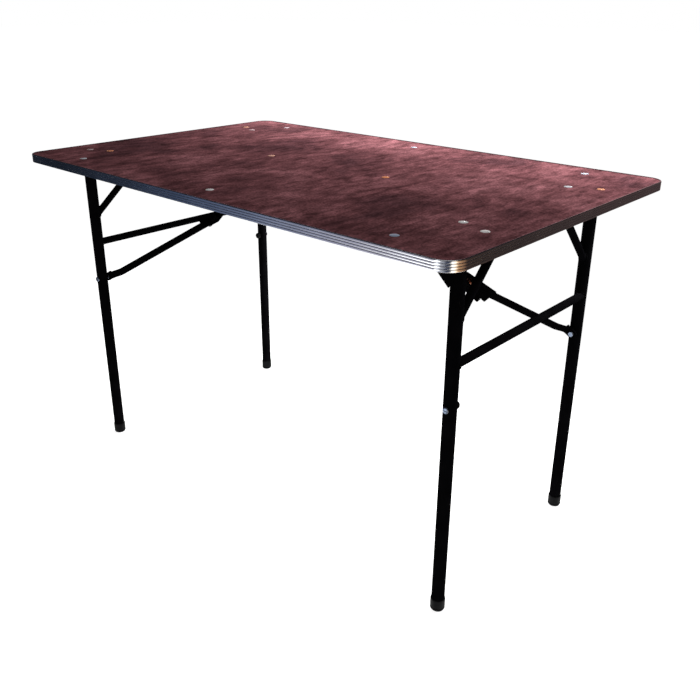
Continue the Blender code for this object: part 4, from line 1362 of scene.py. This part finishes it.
def arm_tube(start, end):
    """The arm's tube: pressed flat at its start, oval within a few diameters."""
    start = Vector(start)
    direction = Vector(end) - start
    length = direction.length
    direction.normalize()
    up = Vector((0, 0, 1))
    up = (up - direction * up.dot(direction)).normalized()
    across = direction.cross(up)
    shape = bmesh.new()
    rings = []
    for station in ARM_BLEND_STATIONS + (length - ARM_CHAMFER, length):
        share = min(station / ARM_BLEND_STATIONS[-1], 1.0)
        share = share * share * (3 - 2 * share)
        tall = ARM_PRESSED_HALF_HEIGHT * (1 - share) + ARM_HALF_HEIGHT * share
        thick = ARM_PRESSED_HALF_WIDTH * (1 - share) + ARM_HALF_WIDTH * share
        if station == length:
            tall -= ARM_CHAMFER
            thick -= ARM_CHAMFER
        power = 2.0 + ARM_PRESSED_SQUARENESS * (1 - share)
        centre = start + direction * station - up * (ARM_SAG_AT_LEG / 2) * (1 - share)
        ring = []
        for angle in round_angles(ROUND_STEPS):
            cosine = math.cos(angle)
            sine = math.sin(angle)
            x = math.copysign(abs(cosine) ** (2 / power), cosine) * thick
            y = math.copysign(abs(sine) ** (2 / power), sine) * tall
            ring.append(shape.verts.new(centre + across * x + up * y))
        rings.append(ring)
    bridged(shape, rings)
    shape.faces.new(rings[0])
    shape.faces.new(rings[-1])
    return shape


class FOLDING_TABLE_OT_brace_arms(bpy.types.Operator):
    """Make the lower halves of the braces."""

    bl_idname = "folding_table.brace_arms"
    bl_label = "Brace Arms"

    def execute(self, context):
        edge = context.scene.folding_table_frame.sheet_edge
        half = ARM_END_THICKNESS / 2
        tail = 2 * ARM_END_RADIUS
        plate_low = KNEE_PLATE_MIDDLE - KNEE_PLATE_THICKNESS / 2
        plate_high = KNEE_PLATE_MIDDLE + KNEE_PLATE_THICKNESS / 2
        sheet = KNEE_PLATE_THICKNESS
        low = KNEE_PLATE_RADIUS
        for side in SIDES:
            name = f"brace_arm_{side}"
            body = f"{side}_brace_arm"
            place = brace_place(side, PIVOT[side], math.pi + brace_angle(side))
            length = math.hypot(KNEE[side].x - PIVOT[side].x, KNEE[side].z - PIVOT[side].z)
            tip = length - KNEE_PLATE_REACH
            nose = length + KNEE_NOSE_REACH
            outline = [(tip, -KNEE_PLATE_RISE)]
            upper = [(tip, -KNEE_PLATE_RISE), (nose, -KNEE_NOSE_RISE), (nose, 0)]
            outline += eased(upper, KNEE_PLATE_ROUNDING)[1:-1]
            outline += eased([(nose, 0), (nose, low / 2), (length, low)], KNEE_PLATE_ROUNDING)[1:-1]
            outline += [(length, low), (length - 2 * low, low), (tip, 0)]
            plate = side_prism(outline, plate_low, plate_high)
            slope = (KNEE_PLATE_RISE - KNEE_NOSE_RISE) / (KNEE_PLATE_REACH + KNEE_NOSE_REACH)
            drop = -KNEE_NOSE_RISE - slope * (KNEE_NOSE_REACH + sheet)
            outline = [
                (tip + sheet / 4, -KNEE_PLATE_RISE + sheet / 2),
                (length - sheet, drop + sheet / 2),
                (length - sheet, drop + 3 * sheet / 2),
                (tip + sheet / 4, -KNEE_PLATE_RISE + 3 * sheet / 2),
            ]
            flange = side_prism(outline, KNEE_PLATE_MIDDLE - KNEE_FLANGE_WIDTH, KNEE_PLATE_MIDDLE)
            knee = fused(f"{name}_plate", [plate, flange], edge)
            knee.data.transform(place)
            painted(knee, body)
            end = arm_end_middle(side)
            outline = arc((0, 0), ARM_END_RADIUS, math.pi / 2, 3 * math.pi / 2, END_STEPS)
            outline += [(tail, -ARM_END_RADIUS + ARM_SAG_AT_LEG / 2)]
            outline += [(tail, ARM_END_RADIUS + ARM_SAG_AT_LEG / 2)]
            flat = side_prism(outline, end - half, end + half)
            start = (ARM_END_RADIUS * 1.3, end - half * 0.2, ARM_SAG_AT_LEG)
            stop = (length - KNEE_PLATE_RADIUS, KNEE_PLATE_MIDDLE + half, ARM_SAG_AT_KNEE)
            bar = fused(f"{name}_bar", [flat, arm_tube(start, stop)], edge)
            bar.data.transform(place)
            painted(bar, body, name)
            seam = []
            for angle in round_angles(ROUND_STEPS):
                x = stop[0] - KNEE_WELD_SETBACK + KNEE_WELD_HALF_LENGTH * math.cos(angle)
                z = stop[2] + KNEE_WELD_HALF_HEIGHT * math.sin(angle)
                seam.append((x, plate_high, z))
            weld(f"knee_weld_{side}", [seam], KNEE_WELD_SHARE, body, place)
        return {"FINISHED"}


class FOLDING_TABLE_OT_brace_links(bpy.types.Operator):
    """Make the upper halves of the braces, channels with a tongue past the knee."""

    bl_idname = "folding_table.brace_links"
    bl_label = "Brace Links"

    def execute(self, context):
        edge = context.scene.folding_table_frame.sheet_edge
        sheet = LINK_SHEET
        up = LINK_WEB_RISE
        down = LINK_FLANGE_FALL
        back = LINK_WEB_SETBACK
        web_low = -LINK_NEAR_SIDE + sheet / 2
        web_high = LINK_FAR_SIDE - sheet / 2
        narrow = LINK_FAR_SIDE - LINK_TONGUE_WIDTH
        for side in SIDES:
            length = math.hypot(KNEE[side].x - PIN[side].x, KNEE[side].z - PIN[side].z)
            shoulder = length - LINK_SHOULDER
            end = length + LINK_OVERRUN
            around_pin = arc((0, 0), LINK_END_RADIUS, 3 * math.pi / 2, math.pi / 2, END_STEPS)
            outline = around_pin + [(back, up), (end, up), (end, 0), (length + down, -down), (back, -down)]
            far_flange = side_prism(outline, LINK_FAR_SIDE - sheet, LINK_FAR_SIDE)
            outline = around_pin + [(back, up), (shoulder, up), (shoulder, -down), (back, -down)]
            near_flange = side_prism(outline, -LINK_NEAR_SIDE, -LINK_NEAR_SIDE + sheet)
            outline = [(back + sheet, web_low), (shoulder - sheet / 2, web_low)]
            outline += [(shoulder - sheet / 2, narrow - sheet), (shoulder + sheet, narrow)]
            outline += [(end - sheet, narrow), (end - sheet, web_high), (back + sheet, web_high)]
            web = prism(outline, up - 5 * sheet / 4, up - sheet / 4)
            name = f"brace_link_{side}"
            link = fused(f"{name}_channel", [far_flange, near_flange, web], edge)
            link.data.transform(brace_place(side, PIN[side], brace_angle(side)))
            painted(link, f"{side}_brace_link", name)
        return {"FINISHED"}


class FOLDING_TABLE_OT_knees(bpy.types.Operator):
    """Make the knee bolts on the arms and the knee nuts on the links."""

    bl_idname = "folding_table.knees"
    bl_label = "Knees"

    def execute(self, context):
        near = KNEE_PLATE_MIDDLE - KNEE_PLATE_THICKNESS / 2 - SEAT_GAP
        far = KNEE_PLATE_MIDDLE + KNEE_PLATE_THICKNESS / 2 + SEAT_GAP
        start = LINK_FAR_SIDE + KNEE_OPEN_GAP
        high = LINK_FAR_SIDE - LINK_SHEET - SEAT_GAP
        radius = KNEE_HEAD_RADIUS
        head = KNEE_HEAD_THICKNESS
        for side in SIDES:
            place = brace_place(side, KNEE[side], 0) @ Matrix.Rotation(-math.pi / 2, 4, "X")
            rows = [(0, start), (KNEE_BOLT_RADIUS, start), (KNEE_BOLT_RADIUS, far), (0, far)]
            shank = turned(eased(rows, KNEE_BOLT_ROUNDING), WASHER_STEPS)
            rows = [(0, far), (radius, far), (radius, far + head * 0.4)]
            rows += [(radius * 0.75, far + head * 0.9), (0, far + head)]
            dome = turned(eased(rows, KNEE_HEAD_ROUNDING), HEAD_STEPS)
            mesh = joined("bolt", [shank, hexagon(radius, near - head, near), dome])
            look, tone = ("bolt_steel", KNEE_BOLT_TONE) if side == "right" else ("black_paint", None)
            node = f"knee_bolt_{side}"
            fitted(f"{node}_set", mesh, place, f"{side}_brace_arm", look, node, tone=tone)
            mesh = joined("nut", [hexagon(radius, high - NUT_HEIGHT, high)])
            node = f"knee_nut_{side}"
            fitted(f"{node}_hexagon", mesh, place, f"{side}_brace_link", "bolt_steel", node)
        return {"FINISHED"}


class FOLDING_TABLE_OT_brackets(bpy.types.Operator):
    """Make the brackets under the top and the pins in them."""

    bl_idname = "folding_table.brackets"
    bl_label = "Brackets"

    def execute(self, context):
        edge = context.scene.folding_table_frame.sheet_edge
        cheek_radius = BRACKET_CHEEK_RADIUS
        low_side = -LINK_NEAR_SIDE + LINK_SHEET + BRACKET_SIDE_GAP
        high_side = LINK_FAR_SIDE - LINK_SHEET - BRACKET_SIDE_GAP
        low = low_side + BRACKET_SHEET / 4
        stop = cheek_radius + BRACKET_SHEET / 4
        for side in SIDES:
            name = f"centre_bracket_{side}"
            place = brace_place(side, PIN[side], 0)
            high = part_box(name)[1].z - PIN[side].z
            start = abs(middle(f"bracket_bolt_{side}").x) - BRACKET_EDGE - abs(PIN[side].x)
            outline = [(start, low), (stop, low), (stop, BRACKET_EDGE), (start, BRACKET_EDGE)]
            shapes = [prism(outline, high - BRACKET_SHEET, high)]
            top = high - BRACKET_SHEET / 2
            outline = arc((0, 0), cheek_radius, math.pi, 2 * math.pi, END_STEPS)
            outline += [(cheek_radius, top), (-2 * cheek_radius, top)]
            for cheek in (low_side, high_side - BRACKET_SHEET):
                shapes.append(side_prism(outline, cheek, cheek + BRACKET_SHEET))
            bracket = fused(f"{name}_plate", shapes, edge)
            bracket.data.transform(place)
            painted(bracket, "tabletop", name)
            self.make_pin(side, place)
        return {"FINISHED"}

    def make_pin(self, side, place):
        """A rivet through the bracket and the link, with a low head at each end."""
        near = -LINK_NEAR_SIDE - SEAT_GAP
        far = LINK_FAR_SIDE + SEAT_GAP
        head = PIN_HEAD_THICKNESS
        radius = PIN_HEAD_RADIUS
        rows = [(0, near - head), (radius * 0.6, near - head * 0.9), (radius, near - head * 0.4)]
        rows += [(radius, near), (PIN_RADIUS, near), (PIN_RADIUS, far), (radius, far)]
        rows += [(radius, far + head * 0.4), (radius * 0.6, far + head * 0.9), (0, far + head)]
        mesh = from_bmesh("pin", turned(rows, PIN_STEPS))
        upright = place @ Matrix.Rotation(-math.pi / 2, 4, "X")
        node = f"bracket_pin_{side}"
        fitted(f"{node}_rivet", mesh, upright, "tabletop", "bolt_steel", node)


# The stage

# Around Z, above the horizon and the roll, in radians, and the distance to the target
CAMERA_TURN = (0.7367, 0.3903, 0.0057, 1.7178)
CAMERA_TARGET = (0.1282, -0.0763, 0.45)
SENSOR_WIDTH = 36.0
CAMERA_CLIP = (0.05, 200.0)
FLOOR_REACH = 30
FLOOR_GLOW = 0.84
KEY_LAMP_PLACE = (-0.6, -3.2, 3.4)
KEY_LAMP_TARGET = (0.1, -0.1, 0.6)
KEY_LAMP_SIZE = (2.2, 2.2)
BACK_LAMP_PLACE = (0.02, 0.62, 1.00)
BACK_LAMP_TARGET = (0.02, 0.2, 0.76)
BACK_LAMP_SIZE = (2.1, 0.14)

# Round the table, in degrees from +X: the tone of the low part of the surround, a glow that paints the
# reflections and highlights seen in the metal
SURROUND_TONES = (
    (0, (0.55, 0.30, 0.15)),
    (20, (0.30, 0.16, 0.09)),
    (38, (0.040, 0.030, 0.026)),
    (80, (0.10, 0.065, 0.065)),
    (98, (0.42, 0.25, 0.26)),
    (108, (0.60, 0.35, 0.35)),
    (118, (0.46, 0.265, 0.27)),
    (133, (0.80, 0.50, 0.62)),
    (143, (1.05, 0.66, 0.80)),
    (151, (0.50, 0.32, 0.37)),
    (160, (0.050, 0.050, 0.065)),
    (206, (0.008, 0.012, 0.020)),
    (214, (0.020, 0.028, 0.045)),
    (223, (0.070, 0.100, 0.18)),
    (233, (0.24, 0.27, 0.38)),
    (247, (0.52, 0.49, 0.58)),
    (256, (0.90, 0.88, 0.90)),
    # These rows, and those at 332 and 344, glow past white: painted highlights on the edging's corner
    (264, (3.2, 3.2, 3.2)),
    (276, (3.2, 3.2, 3.2)),
    (284, (0.60, 0.60, 0.64)),
    (300, (0.40, 0.41, 0.46)),
    (308, (0.05, 0.06, 0.10)),
    (324, (0.05, 0.06, 0.10)),
    (332, (2.6, 2.4, 2.1)),
    (344, (2.2, 1.7, 1.2)),
    (352, (0.75, 0.42, 0.20)),
    (360, (0.55, 0.30, 0.15)),
)
SURROUND_DARK = (0.014, 0.013, 0.015)
# Where the dark upper part begins: at an angle in degrees, a height in metres
SURROUND_EDGES = (
    (0, 1.5),
    (95, 1.9),
    (112, 1.85),
    (120, 1.75),
    (128, 1.55),
    (137, 1.45),
    (146, 1.30),
    (155, 1.3),
    (360, 1.5),
)
SURROUND_FADE = 0.55
SURROUND_STEPS = 180
SURROUND_RADIUS = 4.5
# Radius and height of each row of the surround: over the floor, then up the wall
SURROUND_ROWS = ((0.70, 0.003), (2.4, 0.003)) + tuple(
    (SURROUND_RADIUS, height)
    for height in (0.003, 1.0, 1.2, 1.35, 1.5, 1.65, 1.8, 1.95, 2.1, 2.25, 2.4, 2.6, 2.8, 8.0)
)


def read_off(table, angle):
    """The value that a table gives for an angle in degrees, between its rows too."""
    for (before, first), (after, second) in zip(table, table[1:]):
        if before <= angle <= after:
            share = (angle - before) / (after - before)
            if isinstance(first, tuple):
                return Vector(first).lerp(Vector(second), share)
            return first + (second - first) * share
    raise ValueError(f"no row for {angle} degrees")


def bare_tree(owner):
    """The node tree of a material or a world, with its nodes taken out."""
    owner.use_nodes = True
    owner.node_tree.nodes.clear()
    return owner.node_tree


def seen_directly(tree):
    """1 for the rays of the camera, of mirrors and of glass, 0 for all others."""
    path = tree.nodes.new("ShaderNodeLightPath")
    seen = maths(tree, "MAXIMUM", path.outputs["Is Camera Ray"], path.outputs["Is Glossy Ray"])
    return maths(tree, "MAXIMUM", seen, path.outputs["Is Transmission Ray"])


def surround():
    """Glowing cards round the table, dark and pale, that only reflections see: painted reflections and
    highlights, not lamps.
    """
    shape = bmesh.new()
    layer = shape.verts.layers.float_color.new("glow")
    rows = []
    for radius, height in SURROUND_ROWS:
        row = []
        for step in range(SURROUND_STEPS):
            angle = 360.0 * step / SURROUND_STEPS
            turn = math.radians(angle)
            vert = shape.verts.new((radius * math.cos(turn), radius * math.sin(turn), height))
            past = (height - read_off(SURROUND_EDGES, angle)) / SURROUND_FADE + 0.5
            past = min(max(past, 0.0), 1.0)
            darkness = past * past * (3 - 2 * past)
            tone = read_off(SURROUND_TONES, angle).lerp(Vector(SURROUND_DARK), darkness)
            vert[layer] = (*tone, 1.0)
            row.append(vert)
        rows.append(row)
    bridged(shape, rows)
    mesh = bpy.data.meshes.new("studio_cards")
    shape.to_mesh(mesh)
    shape.free()
    look = bpy.data.materials.new("studio_cards")
    tree = bare_tree(look)
    tone = add(tree, "ShaderNodeAttribute", attribute_name="glow")
    # The cards' painted reflection tones glow here, for glossy rays only
    glow = tree.nodes.new("ShaderNodeEmission")
    output = tree.nodes.new("ShaderNodeOutputMaterial")
    plug(tree, tone.outputs["Color"], glow, "Color")
    plug(tree, glow.outputs[0], output, "Surface")
    mesh.materials.append(look)
    cards = shown("studio_cards", mesh)
    cards.visible_camera = False
    cards.visible_diffuse = False
    cards.visible_shadow = False
    cards.visible_transmission = False


def lamp(name, place, target, size, power):
    """A soft rectangular lamp aimed at a point, which reflections don't see."""
    data = bpy.data.lights.new(name, "AREA")
    data.shape = "RECTANGLE"
    data.size, data.size_y = size
    data.energy = power
    made = shown(name, data)
    made.location = place
    made.visible_glossy = False
    made.visible_camera = False
    direction = Vector(target) - Vector(place)
    made.rotation_euler = direction.to_track_quat("-Z", "Y").to_euler()


class FOLDING_TABLE_OT_stage(bpy.types.Operator):
    """Make the camera, the floor, the world and the lamps."""

    bl_idname = "folding_table.stage"
    bl_label = "Stage"

    def execute(self, context):
        stage = context.scene.folding_table_stage
        context.scene.view_settings.view_transform = "Standard"
        self.make_camera(context.scene, stage)
        self.make_floor(stage)
        self.make_world(context.scene, stage)
        lamp("key", KEY_LAMP_PLACE, KEY_LAMP_TARGET, KEY_LAMP_SIZE, stage.key)
        lamp("back", BACK_LAMP_PLACE, BACK_LAMP_TARGET, BACK_LAMP_SIZE, stage.back)
        surround()
        return {"FINISHED"}

    def make_camera(self, scene, stage):
        """A camera that looks at its target from a turn, a height angle and a distance, a little rolled."""
        data = bpy.data.cameras.new("camera")
        data.lens = stage.lens
        data.sensor_width = SENSOR_WIDTH
        data.shift_x = stage.shift_x
        data.shift_y = stage.shift_y
        data.clip_start, data.clip_end = CAMERA_CLIP
        camera = shown("camera", data)
        around, above, roll, distance = CAMERA_TURN
        back = Vector(
            (math.sin(around) * math.cos(above), -math.cos(around) * math.cos(above), math.sin(above))
        )
        forward = -back
        right = forward.cross(Vector((0, 0, 1))).normalized()
        up = right.cross(forward)
        level = right * math.cos(roll) + up * math.sin(roll)
        upward = up * math.cos(roll) - right * math.sin(roll)
        axes = Matrix((level, upward, back)).transposed().to_4x4()
        camera.matrix_world = Matrix.Translation(Vector(CAMERA_TARGET) + back * distance) @ axes
        scene.camera = camera

    def make_floor(self, stage):
        """A plain floor, pale to the light and white to the camera."""
        far = FLOOR_REACH
        shape = bmesh.new()
        corners = ((-far, -far, 0), (far, -far, 0), (far, far, 0), (-far, far, 0))
        shape.faces.new([shape.verts.new(corner) for corner in corners])
        floor = shown("floor", from_bmesh("floor", shape))
        look = bpy.data.materials.new("floor")
        tree = bare_tree(look)
        plain = add(tree, "ShaderNodeBsdfDiffuse", Color=(*stage.floor, 1.0))
        glow = add(tree, "ShaderNodeEmission", Color=(1.0, 1.0, 1.0, 1.0))
        plug(tree, maths(tree, "MULTIPLY", seen_directly(tree), FLOOR_GLOW), glow, "Strength")
        both = tree.nodes.new("ShaderNodeAddShader")
        output = tree.nodes.new("ShaderNodeOutputMaterial")
        plug(tree, plain.outputs[0], both, 0)
        plug(tree, glow.outputs[0], both, 1)
        plug(tree, both.outputs[0], output, "Surface")
        floor.data.materials.append(look)

    def make_world(self, scene, stage):
        """Soft light all round, and plain white where the camera, metal or glass sees past the floor."""
        scene.world = bpy.data.worlds.new("studio")
        tree = bare_tree(scene.world)
        glow = add(tree, "ShaderNodeBackground", Color=(1.0, 1.0, 1.0, 1.0))
        strength = scaled(tree, seen_directly(tree), 1.0 - stage.world, stage.world)
        plug(tree, strength, glow, "Strength")
        output = tree.nodes.new("ShaderNodeOutputWorld")
        plug(tree, glow.outputs[0], output, "Surface")


OPERATORS = (
    FOLDING_TABLE_OT_stage,
    FOLDING_TABLE_OT_board,
    FOLDING_TABLE_OT_edging,
    FOLDING_TABLE_OT_top_bolts,
    FOLDING_TABLE_OT_buffers,
    FOLDING_TABLE_OT_saddles,
    FOLDING_TABLE_OT_frames,
    FOLDING_TABLE_OT_feet,
    FOLDING_TABLE_OT_leg_bolts,
    FOLDING_TABLE_OT_brace_arms,
    FOLDING_TABLE_OT_brace_links,
    FOLDING_TABLE_OT_knees,
    FOLDING_TABLE_OT_brackets,
)
GROUPS = {
    "folding_table_edging": EdgingProperties,
    "folding_table_frame": FrameProperties,
    "folding_table_colours": ColourProperties,
    "folding_table_stage": StageProperties,
}


class FOLDING_TABLE_PT_panel(bpy.types.Panel):
    """The table's operators, in the sidebar."""

    bl_idname = "FOLDING_TABLE_PT_panel"
    bl_label = "Folding Banquet Table"
    bl_space_type = "VIEW_3D"
    bl_region_type = "UI"
    bl_category = "Table"

    def draw(self, context):
        column = self.layout.column(align=True)
        for operator in OPERATORS:
            column.operator(operator.bl_idname)
        for name in GROUPS:
            group = getattr(context.scene, name)
            box = self.layout.box()
            for prop in group.bl_rna.properties:
                if prop.identifier not in ("rna_type", "name"):
                    box.prop(group, prop.identifier)


def register():
    """Register the properties, the operators and the panel."""
    for name, group in GROUPS.items():
        bpy.utils.register_class(group)
        setattr(bpy.types.Scene, name, bpy.props.PointerProperty(type=group))
    for operator in OPERATORS:
        bpy.utils.register_class(operator)
    bpy.utils.register_class(FOLDING_TABLE_PT_panel)


def unregister():
    """Take the panel, the operators and the properties away again."""
    bpy.utils.unregister_class(FOLDING_TABLE_PT_panel)
    for operator in reversed(OPERATORS):
        bpy.utils.unregister_class(operator)
    for name, group in GROUPS.items():
        delattr(bpy.types.Scene, name)
        bpy.utils.unregister_class(group)


def main():
    """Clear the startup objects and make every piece."""
    for name in ("Cube", "Light", "Camera"):
        startup = bpy.data.objects.get(name)
        if startup is not None:
            bpy.data.objects.remove(startup, do_unlink=True)
    register()
    for operator in OPERATORS:
        group, name = operator.bl_idname.split(".")
        getattr(getattr(bpy.ops, group), name)()


if __name__ == "__main__":
    main()
